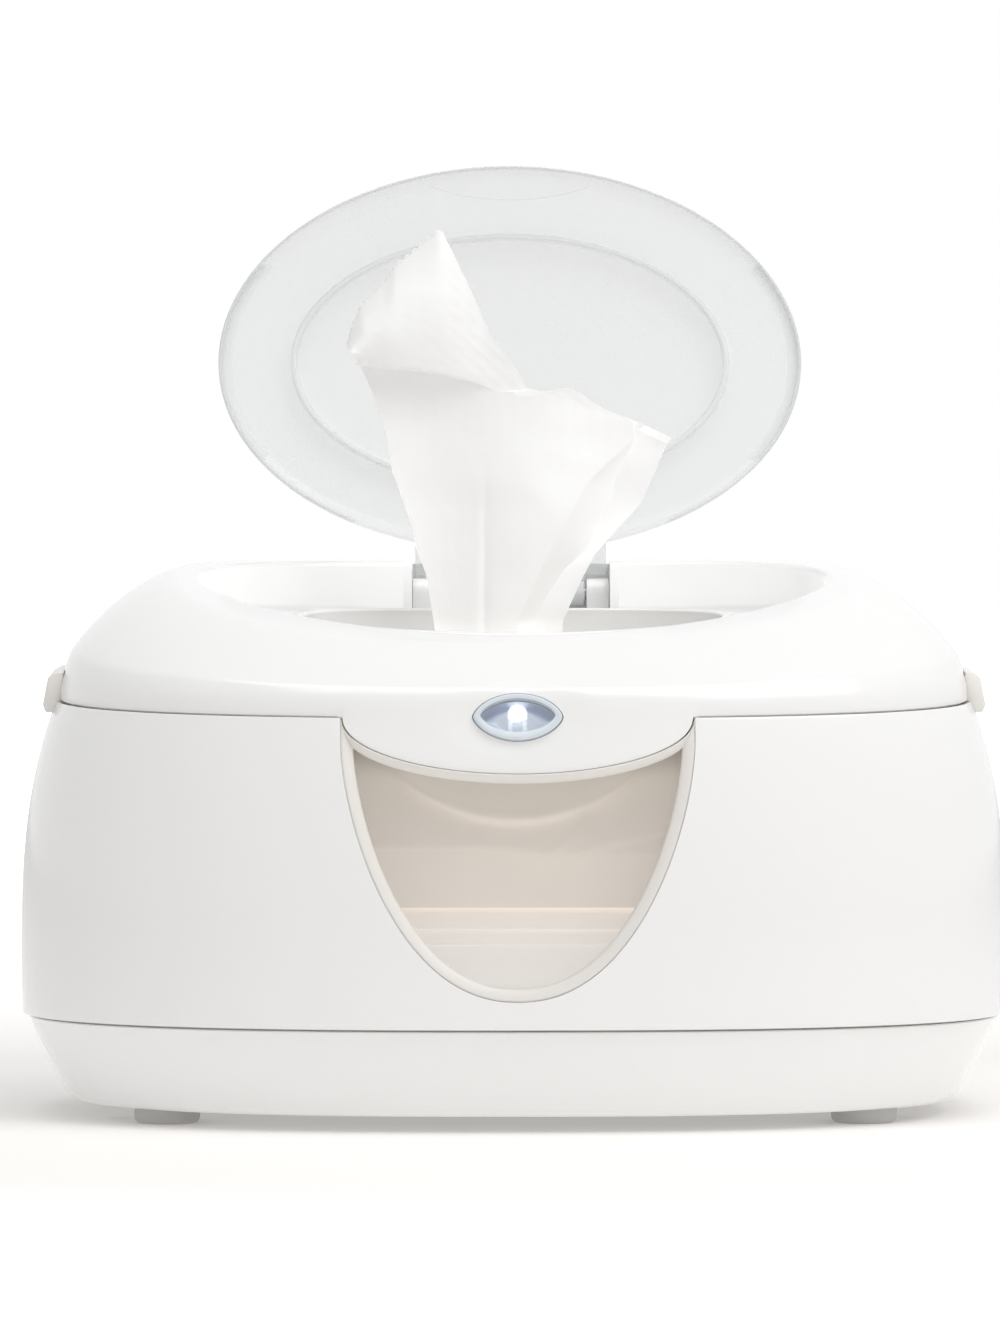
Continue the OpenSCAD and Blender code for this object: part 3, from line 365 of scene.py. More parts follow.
@dataclass(frozen=True)
class Finish:
    """A surface finish with a fine procedural grain.

    Attributes:
        slot: The record's material slot.
        colour: Base colour, linear red, green and blue.
        roughness: Lowest roughness.
        spread: How much the roughness varies over the surface.
        grain: Size of the grain in metres.
        relief: Height of the grain in metres.
        metallic: 1 for a metal.
        alpha: How opaque the surface is.
        coat: Strength of a clear glossy layer.
        glow: How much light passes under the surface.
        light: Strength of the surface's own light: the lamp's real glow, or painted light on the lid's dish walls, the
            wipes, the button's rim and the lamp frame.
        ior: Index of refraction.
    """

    slot: Slot
    colour: tuple[float, float, float]
    roughness: float = 0.3
    spread: float = 0.06
    grain: float = 0.004
    relief: float = 0.00001
    metallic: float = 0.0
    alpha: float = 1.0
    coat: float = 0.0
    glow: float = 0.0
    light: float = 0.0
    ior: float = 1.5

    def material(self) -> bpy.types.Material:
        """Return this finish as a material, made on first use."""
        name = self.slot.value + "_finish"
        found = bpy.data.materials.get(name)
        if found:
            return found
        material = bpy.data.materials.new(name)
        material.use_nodes = True
        tree = material.node_tree
        shader = tree.nodes["Principled BSDF"]
        shader.inputs["Base Color"].default_value = (*self.colour, 1)
        shader.inputs["Metallic"].default_value = self.metallic
        shader.inputs["IOR"].default_value = self.ior
        shader.inputs["Alpha"].default_value = self.alpha
        shader.inputs["Coat Weight"].default_value = self.coat
        shader.inputs["Coat Roughness"].default_value = 0.08
        if self.glow:
            shader.inputs["Subsurface Weight"].default_value = self.glow
            shader.inputs["Subsurface Radius"].default_value = (0.004, 0.0035, 0.003)
            shader.inputs["Subsurface Scale"].default_value = 1.0
        shader.inputs["Emission Color"].default_value = (*self.colour, 1)
        shader.inputs["Emission Strength"].default_value = self.light
        self.dress(tree, shader)
        return material

    def dress(self, tree: bpy.types.NodeTree, shader: bpy.types.Node) -> None:
        """Add the pattern of this finish.

        Args:
            tree: The material's nodes.
            shader: Its surface shader.
        """
        noise = self.noise(tree, 1.0 / self.grain, 3.0)
        self.rough(tree, noise.outputs["Fac"], shader)
        self.bump(tree, noise.outputs["Fac"], shader)

    def noise(self, tree: bpy.types.NodeTree, scale: float, detail: float) -> bpy.types.Node:
        """Add a noise texture on object coordinates.

        Args:
            tree: The material's nodes.
            scale: How fine the noise is, per metre.
            detail: How many finer layers it has.

        Returns:
            The noise node.
        """
        place = tree.nodes.new("ShaderNodeTexCoord")
        noise = tree.nodes.new("ShaderNodeTexNoise")
        noise.inputs["Scale"].default_value = scale
        noise.inputs["Detail"].default_value = detail
        tree.links.new(place.outputs["Object"], noise.inputs["Vector"])
        return noise

    def rough(self, tree: bpy.types.NodeTree, value: bpy.types.NodeSocket, shader: bpy.types.Node) -> None:
        """Let a value from 0 to 1 vary the roughness.

        Args:
            tree: The material's nodes.
            value: The varying value.
            shader: The surface shader.
        """
        span = tree.nodes.new("ShaderNodeMapRange")
        span.inputs["To Min"].default_value = self.roughness
        span.inputs["To Max"].default_value = self.roughness + self.spread
        tree.links.new(value, span.inputs["Value"])
        tree.links.new(span.outputs["Result"], shader.inputs["Roughness"])

    def bump(self, tree: bpy.types.NodeTree, value: bpy.types.NodeSocket, shader: bpy.types.Node) -> None:
        """Let a value raise the surface.

        Args:
            tree: The material's nodes.
            value: The height, from 0 to 1.
            shader: The surface shader.
        """
        bump = tree.nodes.new("ShaderNodeBump")
        bump.inputs["Strength"].default_value = 1.0
        bump.inputs["Distance"].default_value = self.relief
        tree.links.new(value, bump.inputs["Height"])
        tree.links.new(bump.outputs["Normal"], shader.inputs["Normal"])


@dataclass(frozen=True)
class ClothFinish(Finish):
    """Non-woven tissue: short crossed fibres and a soft emboss, warmer and with painted shade inside the housing, and a
    painted glow.

    Attributes:
        fibre: Size of the fibres in metres.
        heights: Height of each step of the colour in metres.
        tones_and_painted_shade: Colour of the tissue at each height: the warm tint of the wet stack, with painted shade
            that darkens it towards the lid inside the housing, and painted light and shade that make the pulled wipe
            lighter low down and darker towards its top.
        inside: Strength of the painted glow on the wipes inside the housing, which stands in for the light that reaches
            them through the window.
    """

    fibre: float = 0.0009
    heights: tuple[float, ...] = (0.034, 0.047, 0.0525, 0.056, 0.09, 0.115, 0.128, 0.15, 0.18, 0.198)
    tones_and_painted_shade: tuple[tuple[float, float, float], ...] = (
        (0.95, 0.94, 0.925), (0.9, 0.875, 0.84), (0.83, 0.795, 0.755), (0.74, 0.69, 0.63), (0.67, 0.61, 0.55),
        (0.8, 0.78, 0.75), (0.98, 0.98, 0.975), (0.96, 0.96, 0.955), (0.93, 0.93, 0.925), (0.84, 0.84, 0.835),
    )
    inside: float = 0.58

    def dress(self, tree: bpy.types.NodeTree, shader: bpy.types.Node) -> None:
        """Add fibres, a soft emboss, the colour by height with its painted shade, and the painted glow where the mesh
        is marked.
        """
        soft = self.noise(tree, 1.0 / self.grain, 4.0)
        fibres = self.noise(tree, 1.0 / self.fibre, 6.0)
        fibres.inputs["Distortion"].default_value = 1.5
        both = tree.nodes.new("ShaderNodeMath")
        both.operation = "ADD"
        tree.links.new(soft.outputs["Fac"], both.inputs[0])
        tree.links.new(fibres.outputs["Fac"], both.inputs[1])
        shader.inputs["Sheen Weight"].default_value = 0.3
        self.rough(tree, fibres.outputs["Fac"], shader)
        self.bump(tree, both.outputs["Value"], shader)
        # Colour by height: the tissue's tint with painted shade and painted light in it.
        place = tree.nodes.new("ShaderNodeTexCoord")
        split = tree.nodes.new("ShaderNodeSeparateXYZ")
        ramp = tree.nodes.new("ShaderNodeValToRGB")
        scale = tree.nodes.new("ShaderNodeMath")
        scale.operation = "MULTIPLY"
        scale.inputs[1].default_value = 1 / self.heights[-1]
        steps = ramp.color_ramp.elements
        steps.remove(steps[1])
        for k, (height, tone) in enumerate(zip(self.heights, self.tones_and_painted_shade)):
            at = height / self.heights[-1]
            step = steps[0] if k == 0 else steps.new(at)
            step.position, step.color = at, (*tone, 1)
        # Painted glow: strong below 0.1 m inside the housing, weak above 0.13 m, times the mark on the mesh.
        inside = tree.nodes.new("ShaderNodeMapRange")
        for label, value in zip(("From Min", "From Max", "To Min", "To Max"), (0.1, 0.13, self.inside, self.light)):
            inside.inputs[label].default_value = value
        tree.links.new(place.outputs["Object"], split.inputs["Vector"])
        tree.links.new(split.outputs["Z"], scale.inputs[0])
        tree.links.new(scale.outputs["Value"], ramp.inputs["Fac"])
        tree.links.new(split.outputs["Z"], inside.inputs["Value"])
        tree.links.new(ramp.outputs["Color"], shader.inputs["Base Color"])
        tree.links.new(ramp.outputs["Color"], shader.inputs["Emission Color"])
        mark = tree.nodes.new("ShaderNodeAttribute")
        mark.attribute_name = MARK
        painted_glow = tree.nodes.new("ShaderNodeMath")
        painted_glow.operation = "MULTIPLY"
        tree.links.new(inside.outputs["Result"], painted_glow.inputs[0])
        tree.links.new(mark.outputs["Fac"], painted_glow.inputs[1])
        tree.links.new(painted_glow.outputs["Value"], shader.inputs["Emission Strength"])


@dataclass(frozen=True)
class LitFinish(Finish):
    """A finish whose own light shows only where the mesh is marked: painted light on the lid's dish and mouth walls and
    the button's rim, and the lamp's real glow.
    """

    def dress(self, tree: bpy.types.NodeTree, shader: bpy.types.Node) -> None:
        """Let the mark on the mesh carry the light."""
        Finish.dress(self, tree, shader)
        self.follow(tree, shader, "Emission Strength", 0.0, self.light)

    def follow(self, tree: bpy.types.NodeTree, shader: bpy.types.Node, label: str, low: float, high: float) -> None:
        """Let the mark on the mesh carry one input of the shader.

        Args:
            tree: The material's nodes.
            shader: Its surface shader.
            label: Name of the input.
            low: Its value where there is no mark.
            high: Its value where the mark is 1.
        """
        mark = tree.nodes.new("ShaderNodeAttribute")
        mark.attribute_name = MARK
        span = tree.nodes.new("ShaderNodeMapRange")
        span.inputs["To Min"].default_value = low
        span.inputs["To Max"].default_value = high
        tree.links.new(mark.outputs["Fac"], span.inputs["Value"])
        tree.links.new(span.outputs["Result"], shader.inputs[label])


@dataclass(frozen=True)
class ClearFinish(LitFinish):
    """Clear plastic that looks denser where the mesh is marked as thick.

    Attributes:
        dense: How opaque the thick places are.
    """

    dense: float = 0.6

    def dress(self, tree: bpy.types.NodeTree, shader: bpy.types.Node) -> None:
        """Let the mark on the mesh thicken the plastic too."""
        LitFinish.dress(self, tree, shader)
        self.follow(tree, shader, "Alpha", self.alpha, self.dense)


@dataclass(frozen=True)
class BrushedFinish(Finish):
    """Rolled or brushed metal, with fine streaks along one axis."""

    stretch: tuple[float, float, float] = (1.0, 12.0, 12.0)

    def dress(self, tree: bpy.types.NodeTree, shader: bpy.types.Node) -> None:
        """Add streaks to the metal."""
        noise = self.noise(tree, 1.0 / self.grain, 3.0)
        place = next(n for n in tree.nodes if n.type == "TEX_COORD")
        mapping = tree.nodes.new("ShaderNodeMapping")
        mapping.inputs["Scale"].default_value = self.stretch
        tree.links.new(place.outputs["Object"], mapping.inputs["Vector"])
        tree.links.new(mapping.outputs["Vector"], noise.inputs["Vector"])
        self.rough(tree, noise.outputs["Fac"], shader)
        self.bump(tree, noise.outputs["Fac"], shader)


@dataclass(frozen=True)
class TrackFinish(Finish):
    """A board or film with printed tracks in a second colour."""

    track: tuple[float, float, float] = (0.5, 0.4, 0.2)
    pitch: float = 0.004
    width: float = 0.35

    def dress(self, tree: bpy.types.NodeTree, shader: bpy.types.Node) -> None:
        """Add the tracks as narrow wavy bands."""
        place = tree.nodes.new("ShaderNodeTexCoord")
        wave = tree.nodes.new("ShaderNodeTexWave")
        wave.inputs["Scale"].default_value = 0.05 / self.pitch * 6.28
        wave.inputs["Distortion"].default_value = 2.0
        wave.inputs["Detail"].default_value = 0.0
        step = tree.nodes.new("ShaderNodeMath")
        step.operation = "LESS_THAN"
        step.inputs[1].default_value = self.width
        mix = tree.nodes.new("ShaderNodeMix")
        mix.data_type = "RGBA"
        mix.inputs["A"].default_value = (*self.colour, 1)
        mix.inputs["B"].default_value = (*self.track, 1)
        tree.links.new(place.outputs["Object"], wave.inputs["Vector"])
        tree.links.new(wave.outputs["Fac"], step.inputs[0])
        tree.links.new(step.outputs["Value"], mix.inputs["Factor"])
        tree.links.new(mix.outputs["Result"], shader.inputs["Base Color"])
        noise = self.noise(tree, 1.0 / self.grain, 3.0)
        self.rough(tree, noise.outputs["Fac"], shader)
        self.bump(tree, step.outputs["Value"], shader)


FINISHES: dict[Slot, Finish] = {
    f.slot: f
    for f in (
        # The shell's own light is painted light, appearing only where the lid's dish and mouth walls are marked, to
        # lift their shade.
        LitFinish(Slot.SHELL, (0.86, 0.86, 0.855), 0.16, 0.05, 0.006, 0.000004, coat=0.3, light=0.24),
        Finish(Slot.INNER, (0.78, 0.755, 0.72), 0.3, 0.08, 0.0015, 0.00001),
        ClearFinish(Slot.DOOR, (0.72, 0.735, 0.74), 0.1, 0.04, 0.01, 0.000003, alpha=0.3, dense=0.8),
        Finish(Slot.PANE, (0.83, 0.8, 0.76), 0.06, 0.04, 0.012, 0.000004, alpha=0.06),
        Finish(Slot.TUB, (0.74, 0.68, 0.62), 0.3, 0.08, 0.002, 0.00001, alpha=0.14),
        # The cloth's own light and its colour by height are painted light and shade.
        ClothFinish(Slot.CLOTH, (0.9, 0.9, 0.895), 0.8, 0.15, 0.006, 0.00004, light=0.08),
        Finish(Slot.FOOT, (0.52, 0.51, 0.5), 0.6, 0.15, 0.0012, 0.00003),
        Finish(Slot.GREY, (0.8, 0.78, 0.745), 0.35, 0.1, 0.0012, 0.00001),
        Finish(Slot.GASKET, (0.55, 0.55, 0.55), 0.5, 0.1, 0.0015, 0.00001),
        BrushedFinish(Slot.STEEL, (0.62, 0.62, 0.63), 0.2, 0.12, 0.0012, 0.000004, metallic=1.0),
        BrushedFinish(Slot.PLATE, (0.7, 0.7, 0.71), 0.32, 0.15, 0.001, 0.000005, metallic=1.0),
        TrackFinish(Slot.FOIL, (0.36, 0.15, 0.03), 0.25, 0.08, 0.003, 0.00002, track=(0.55, 0.42, 0.25)),
        TrackFinish(Slot.BOARD, (0.02, 0.12, 0.04), 0.3, 0.1, 0.002, 0.00002, track=(0.06, 0.2, 0.07), pitch=0.002),
        Finish(Slot.DARK, (0.02, 0.02, 0.022), 0.4, 0.12, 0.0012, 0.00001),
        # The lamp's glow is its real light where the mesh is marked; the lamp frame takes it at half strength as
        # painted light.
        ClearFinish(Slot.LAMP, (0.92, 0.95, 0.98), 0.1, 0.05, 0.003, 0.000004, alpha=0.22, dense=0.97, light=0.72),
        # The button's faint own light is painted light on its marked rim.
        ClearFinish(Slot.BUTTON, (0.78, 0.84, 0.89), 0.05, 0.03, 0.006, 0.000003, alpha=0.08, dense=0.8, light=0.03),
        BrushedFinish(Slot.MIRROR, (0.63, 0.67, 0.76), 0.3, 0.1, 0.002, 0.000003, metallic=1.0),
        Finish(Slot.LEAD, (0.012, 0.012, 0.012), 0.45, 0.12, 0.001, 0.00001),
    )
}


def finish_piece(obj: bpy.types.Object, slot: Slot, body: str, *nodes: str) -> bpy.types.Object:
    """Give a finished piece its material, its body and the CAD nodes it stands for.

    Args:
        obj: The piece, with its place in its mesh.
        slot: The finish it takes.
        body: The CAD body it rides on.
        *nodes: CAD nodes that it replaces.

    Returns:
        The same object.
    """
    obj.data.materials.clear()
    obj.data.materials.append(FINISHES[slot].material())
    for polygon in obj.data.polygons:
        polygon.material_index = 0
    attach(obj, body)
    if nodes:
        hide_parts(*nodes)
    log.info("%s: %d faces on %s, stands for %s", obj.name, len(obj.data.polygons), body, nodes or "itself")
    return obj


def mark_thickness_and_glow(obj: bpy.types.Object, rule: Callable[[Points], Points], most: float = 1.0) -> bpy.types.Object:
    """Mark the thick places of a clear piece, or where a piece gets its glow: the lamp's own, or painted light on a
    white or cloth piece.

    Args:
        obj: The piece.
        rule: Gives 0 for thin to 1 for thick, or the strength of the glow, at each of its points.
        most: Highest mark.

    Returns:
        The same object.
    """
    points = np.array([v.co[:] for v in obj.data.vertices])
    mark = obj.data.attributes.new(MARK, "FLOAT", "POINT")
    mark.data.foreach_set("value", np.clip(rule(points), 0, most).astype(np.float32))
    return obj


def give(obj: bpy.types.Object) -> None:
    """Give a springy piece its own copy of its mesh.

    Args:
        obj: The piece.
    """
    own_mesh(obj)


def polished(node: str, slot: Slot, edge: float = 0.0002, crease: float = 28.0) -> bpy.types.Object:
    """Copy a CAD node, weld it, round its edges and shade it smooth.

    Args:
        node: Name of the CAD node.
        slot: The finish it takes.
        edge: Width of the rounded edges.
        crease: Angle in degrees above which an edge counts as sharp.

    Returns:
        The new piece, which replaces the node.
    """
    source = frame["nodes"][node]
    obj = bpy.data.objects.new(node + "_piece", source.data.copy())
    bpy.context.scene.collection.objects.link(obj)
    work = bmesh.new()
    work.from_mesh(obj.data)
    bmesh.ops.remove_doubles(work, verts=work.verts, dist=2e-6)
    bmesh.ops.join_triangles(
        work, faces=work.faces, angle_face_threshold=math.radians(0.5), angle_shape_threshold=math.pi
    )
    work.to_mesh(obj.data)
    work.free()
    if obj.data.has_custom_normals:
        obj.data.attributes.remove(obj.data.attributes["custom_normal"])
    obj.data.shade_smooth()
    obj.data.set_sharp_from_angle(angle=math.radians(crease))
    if edge:
        soften(obj, edge, 2, crease)
    return finish_piece(obj, slot, source["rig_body"], node)


@dataclass(frozen=True)
class HousingForm:
    """The bulging outline that the tray, the shell and the lid share.

    Attributes:
        width: Widest width.
        depth: Widest depth.
        widest: Height of the widest line.
        side_draw: How far each side draws in up to the seam.
        front_draw: How far the front and back draw in up to the seam.
        profile: Power of the drawing in.
        plan: Squareness of the outline from above.
        seam: Height of the lid seam at the middle.
        tilt: Rise of the seam to the back, in radians.
        wall: Wall of the shells.
        gap: Gap between mouldings.
        window: Width of the window at the seam.
        window_low: Height of the window's bottom.
        window_bend: Height at which its sides curve in.
        tongue: How far the lid's tongue hangs below the seam.
    """

    width: float = 259 * MM
    depth: float = 182 * MM
    widest: float = 45 * MM
    side_draw: float = 9.4 * MM
    front_draw: float = 6.5 * MM
    profile: float = 2.6
    plan: float = 2.5
    seam: float = 109.1 * MM
    tilt: float = math.radians(2.5)
    wall: float = 2.4 * MM
    gap: float = 0.6 * MM
    window: float = 90 * MM
    window_low: float = 33.7 * MM
    window_bend: float = 99 * MM
    tongue: float = 13.8 * MM

    def half_width(self, z: Points | float) -> Points:
        """Return half the width at a height."""
        return self.width / 2 - self.side_draw * np.abs((z - self.widest) / (self.seam - self.widest)) ** self.profile

    def half_depth(self, z: Points | float) -> Points:
        """Return half the depth at a height."""
        return self.depth / 2 - self.front_draw * np.abs((z - self.widest) / (self.seam - self.widest)) ** self.profile

    def reach(self, a: Points | float, b: Points | float, way: Points, power: float | None = None) -> Points:
        """Return the distance from the centre to a superellipse.

        Args:
            a: Half its width.
            b: Half its depth.
            way: Directions in radians.
            power: Squareness, the housing's own if left out.

        Returns:
            The distance in each direction.
        """
        n = power or self.plan
        return ((np.abs(np.cos(way)) / a) ** n + (np.abs(np.sin(way)) / b) ** n) ** (-1 / n)

    def front(self, x: Points, z: Points | float, inset: float = 0.0) -> Points:
        """Return Y of the front surface.

        Args:
            x: Place across the width.
            z: Height.
            inset: How far inside the outer surface.

        Returns:
            Y at each place.
        """
        a, b = self.half_width(z) - inset, self.half_depth(z) - inset
        return -b * (1 - (np.abs(x) / a) ** self.plan) ** (1 / self.plan)

    @property
    def seam_front(self) -> float:
        """Height of the seam at the very front."""
        return float(self.seam - math.tan(self.tilt) * self.half_depth(self.seam))

    @property
    def tongue_width(self) -> float:
        """Width of the tongue."""
        return self.window - self.gap

    def tongue_at(self, x: Points) -> Points:
        """Return how far the tongue hangs below the seam."""
        return self.tongue * np.sqrt(np.maximum(0, 1 - (2 * x / self.tongue_width) ** 2))

    def at_seam(self) -> Matrix:
        """Return the place of the seam's plane at the middle of the housing."""
        return Matrix.Translation((0, 0, self.seam)) @ Matrix.Rotation(self.tilt, 4, "X")


FORM = HousingForm()


class Ways:
    """Directions round the housing, finest at the edges of the tongue."""

    def __init__(self, form: HousingForm, tongue_steps: int = 84, side_steps: int = 44, back_steps: int = 132) -> None:
        """Work out the directions.

        Args:
            form: The housing's form.
            tongue_steps: Steps across the tongue.
            side_steps: Steps from the tongue to each side.
            back_steps: Steps from side to side round the back.
        """
        x = -form.tongue_width / 2 * np.cos(np.linspace(0, math.pi, tongue_steps + 1))
        tongue = 2 * math.pi + np.arctan2(form.front(x, form.seam_front), x)
        edge = tongue[-1]
        right = edge + (2 * math.pi - edge) * np.arange(1, side_steps) / side_steps
        back = 2 * math.pi + math.pi * np.arange(back_steps + 1) / back_steps
        left = 3 * math.pi + (2 * math.pi - edge) * np.arange(1, side_steps) / side_steps
        self.form = form
        self.way = np.concatenate([tongue, right, back, left])
        reach = form.reach(form.half_width(form.seam), form.half_depth(form.seam), self.way)
        self.seam = form.seam + math.tan(form.tilt) * reach * np.sin(self.way)

    def ring(self, a: Points | float, b: Points | float, z: Points | float, power: float | None = None) -> Points:
        """Return a ring of points.

        Args:
            a: Half its width.
            b: Half its depth.
            z: Its height.
            power: Its squareness.

        Returns:
            One point for each direction.
        """
        r = self.form.reach(a, b, self.way, power)
        return np.column_stack([r * np.cos(self.way), r * np.sin(self.way), np.broadcast_to(z, self.way.shape)])

    def wall(self, z: Points | float, inset: float = 0.0) -> Points:
        """Return a ring on the housing's wall at a height."""
        return self.ring(self.form.half_width(z) - inset, self.form.half_depth(z) - inset, z)


@dataclass
class Housing:
    """The tray, the shell, the window and the tub.

    Attributes:
        form: The housing's form.
        tray_seam: Height of the joint line between tray and shell.
        tray_low: Height of the tray's underside.
        tray_step: How far the tray stands inside the shell.
        tray_slope: How far its sides slope in.
        band: Width of the band round the glazing.
        top_band: Width of the band above the glazing.
        pane: Thickness of the glazing.
        edge: Radius of the moulded edges.
    """

    form: HousingForm = FORM
    tray_seam: float = 26.4 * MM
    tray_low: float = 4 * MM
    tray_step: float = 1.5 * MM
    tray_slope: float = 11.5 * MM
    band: float = 3.3 * MM
    top_band: float = 2.2 * MM
    pane: float = 1.5 * MM
    edge: float = 0.5 * MM

    def build(self) -> None:
        """Build and dress every piece of the housing."""
        self.shell()
        self.tray()
        self.window_frame()
        self.window_pane()
        polished("inner_tub", Slot.TUB, 0.4 * MM)
        polished("tub_gasket", Slot.GASKET, 0.3 * MM)

    def window_low(self, x: Points) -> Points:
        """Return the height of the window's lower edge at each place across it."""
        reach = np.clip(np.abs(x) / (self.form.window / 2), 0, 1)
        rise = (1 - reach**2.2) ** (1 / 1.6)
        return self.form.window_bend - (self.form.window_bend - self.form.window_low) * rise

    def shell(self) -> bpy.types.Object:
        """Build the bulging wall, notched for the window."""
        form = self.form
        half = form.window / 2
        across = -half * np.cos(np.linspace(0, math.pi, 97))
        edge = math.atan2(float(form.front(np.array(half), form.seam_front)), half) % (2 * math.pi)
        way = edge + (4 * math.pi - 2 * edge + math.pi) * np.linspace(0, 1, 241)[1:-1]
        reach = form.reach(form.half_width(form.seam), form.half_depth(form.seam), way)
        x0 = np.concatenate([across, reach * np.cos(way)])
        y0 = np.concatenate([form.front(across, form.seam), reach * np.sin(way)])
        u = x0 / form.half_width(form.seam)
        follow = np.clip((np.abs(x0) - half) / (32 * MM), 0, 1)
        follow = np.where(y0 < 0, follow * follow * (3 - 2 * follow), 1.0)
        count = len(x0)
        inside = np.arange(count) <= 96
        low = np.full(count, self.tray_seam + form.gap / 2)
        middle = np.where(inside, self.window_low(x0), form.window_bend)
        top = form.seam + math.tan(form.tilt) * y0 - form.gap / 2 + 0.15 * MM

        def place(z: Points) -> Points:
            """Return the wall's points at the height of each upright line."""
            a, b = form.half_width(z), form.half_depth(z)
            x = x0 + follow * (a * u - x0)
            y = b * np.where(
                follow < 1, -np.abs(1 - np.abs(x / a) ** form.plan) ** (1 / form.plan), y0 / form.half_depth(form.seam)
            )
            return np.column_stack([x, y, z])

        lower, upper = 30, 8
        rows = [place(low + (middle - low) * i / lower) for i in range(lower + 1)]
        rows += [place(middle + (top - middle) * i / upper) for i in range(1, upper + 1)]
        faces = []
        for i in range(lower + upper):
            for j in range(count):
                if i >= lower and j < 96:
                    continue
                k = (j + 1) % count
                faces.append((i * count + j, i * count + k, (i + 1) * count + k, (i + 1) * count + j))
        obj = mesh_object("body_shell_moulding", np.vstack(rows), faces)
        work = bmesh.new()
        work.from_mesh(obj.data)
        bmesh.ops.delete(work, geom=[v for v in work.verts if not v.link_faces], context="VERTS")
        work.to_mesh(obj.data)
        work.free()
        thick = obj.modifiers.new("wall", "SOLIDIFY")
        thick.thickness = form.wall
        thick.offset = -1
        thick.use_even_offset = True
        bake(obj)
        tidy(obj, 35)
        notches = [self.side_notch(side) for side in (-1, 1)] + hinge_tools("shell")
        cut(obj, *notches)
        soften(obj, self.edge, 3, 50)
        knuckles = hinge_knuckles("shell")
        obj = join("body_shell_moulding", [obj, *knuckles])
        return finish_piece(obj, Slot.SHELL, "base", "body_shell")

    def side_notch(self, side: int) -> bpy.types.Object:
        """Return the tool that cuts the notch for a release tab.

        Args:
            side: 1 for the right side, -1 for the left.

        Returns:
            A box across the seam.
        """
        clear = 0.3 * MM
        x = float(self.form.half_width(self.form.seam))
        low = (x - 15 * MM, -17 * MM - clear, -3.1 * MM - clear)
        high = (x + 15 * MM, 17 * MM + clear, 7.5 * MM + clear)
        obj = turned(block("notch", low, high), self.form.at_seam())
        if side < 0:
            turned(obj, Matrix.Scale(-1, 4, (1, 0, 0)))
            obj.data.flip_normals()
        return obj

    def tray(self) -> bpy.types.Object:
        """Build the lower moulding with its sloped sides."""
        form, ways = self.form, Ways(self.form)
        edge = 2.2 * MM

        def ring(z: float, inset: float) -> Points:
            """Return a ring on the tray's side."""
            t = (self.tray_seam - z) / (self.tray_seam - self.tray_low)
            slope = max(0.0, t) ** 1.2
            a = form.half_width(self.tray_seam) - self.tray_step - self.tray_slope * slope - inset
            b = form.half_depth(self.tray_seam) - self.tray_step - 0.7 * self.tray_slope * slope - inset
            return ways.ring(a, b, z)

        low, top = self.tray_low, self.tray_seam - form.gap / 2
        rings = []
        for k in range(9):
            turn = math.pi / 2 * k / 8
            rings.append(ring(low + edge * (1 - math.cos(turn)), edge * (1 - math.sin(turn))))
        rings += [ring(z, 0) for z in np.linspace(low + edge, top - 0.3 * MM, 14)[1:]]
        rings += [ring(top, 0.3 * MM), ring(top, 2.6 * MM), ring(top + 3.3 * MM, 2.6 * MM)]
        rings += [ring(top + 3.3 * MM, 4.4 * MM), ring(low + form.wall, 4.6 * MM)]
        obj = skin("base_tray_moulding", rings, False, (0, 0, low), (0, 0, low + form.wall))
        tidy(obj, 35)
        tools = []
        for x in (-1, 1):
            for y in (-1, 1):
                foot = rod("foot_seat", 8.8 * MM, -1 * MM, low + 0.8 * MM, 0, 64)
                tools.append(turned(foot, Matrix.Translation((x * 90 * MM, y * 44 * MM, 0))))
                well = rod("screw_well", 3.4 * MM, -1 * MM, 10 * MM, 0, 48)
                tools.append(turned(well, Matrix.Translation((x * 103 * MM, y * 30 * MM, 0))))
        cut(obj, *tools)
        tidy(obj, 35, 1e-6, False)
        return finish_piece(obj, Slot.SHELL, "base", "base_tray")

    def window_ring(self, side: float, top: float, inset: float) -> Points:
        """Return a ring on the window's outline.

        Args:
            side: How far inside the window's edge.
            top: How far below the tongue's curve.
            inset: How far inside the housing's outer surface.

        Returns:
            The ring, along the top from left to right and back round below.
        """
        form = self.form
        a = form.window / 2 - side
        turn = np.linspace(-math.pi / 2, math.pi / 2, 65)
        x = a * np.sin(turn)
        z = form.seam_front - top - form.tongue_at(x)
        t = np.linspace(0, math.pi, 129)
        x = np.concatenate([x, a * np.cos(t)])
        rise = (1 - np.abs(np.cos(t)) ** 2.2) ** (1 / 1.6)
        below = form.window_bend - (form.window_bend - form.window_low - side) * rise
        z = np.concatenate([z, below])
        return np.column_stack([x, form.front(x, z, inset), z])

    def window_frame(self) -> bpy.types.Object:
        """Build the bevelled band round the glazing."""
        gap, top, back = self.form.gap, self.form.gap + self.top_band, self.form.wall + 0.3 * MM
        inner = self.band
        rings = [
            self.window_ring(0.05 * MM, gap - 0.2 * MM, 0.7 * MM),
            self.window_ring(0.3 * MM, gap, 0.4 * MM),
            self.window_ring(0.8 * MM, gap + 0.3 * MM, 0.4 * MM),
            self.window_ring(inner - 0.5 * MM, top - 0.3 * MM, 1.7 * MM),
            self.window_ring(inner - 0.1 * MM, top - 0.05 * MM, 2.05 * MM),
            self.window_ring(inner, top, 2.5 * MM),
            self.window_ring(inner, top, back + 1.7 * MM),
            self.window_ring(-2 * MM, gap, back + 1.7 * MM),
            self.window_ring(-2 * MM, gap, back),
            self.window_ring(0.05 * MM, gap - 0.2 * MM, back),
        ]
        obj = tidy(skin("window_frame_band", rings, True), 50)
        return finish_piece(obj, Slot.INNER, "base", "window_frame")

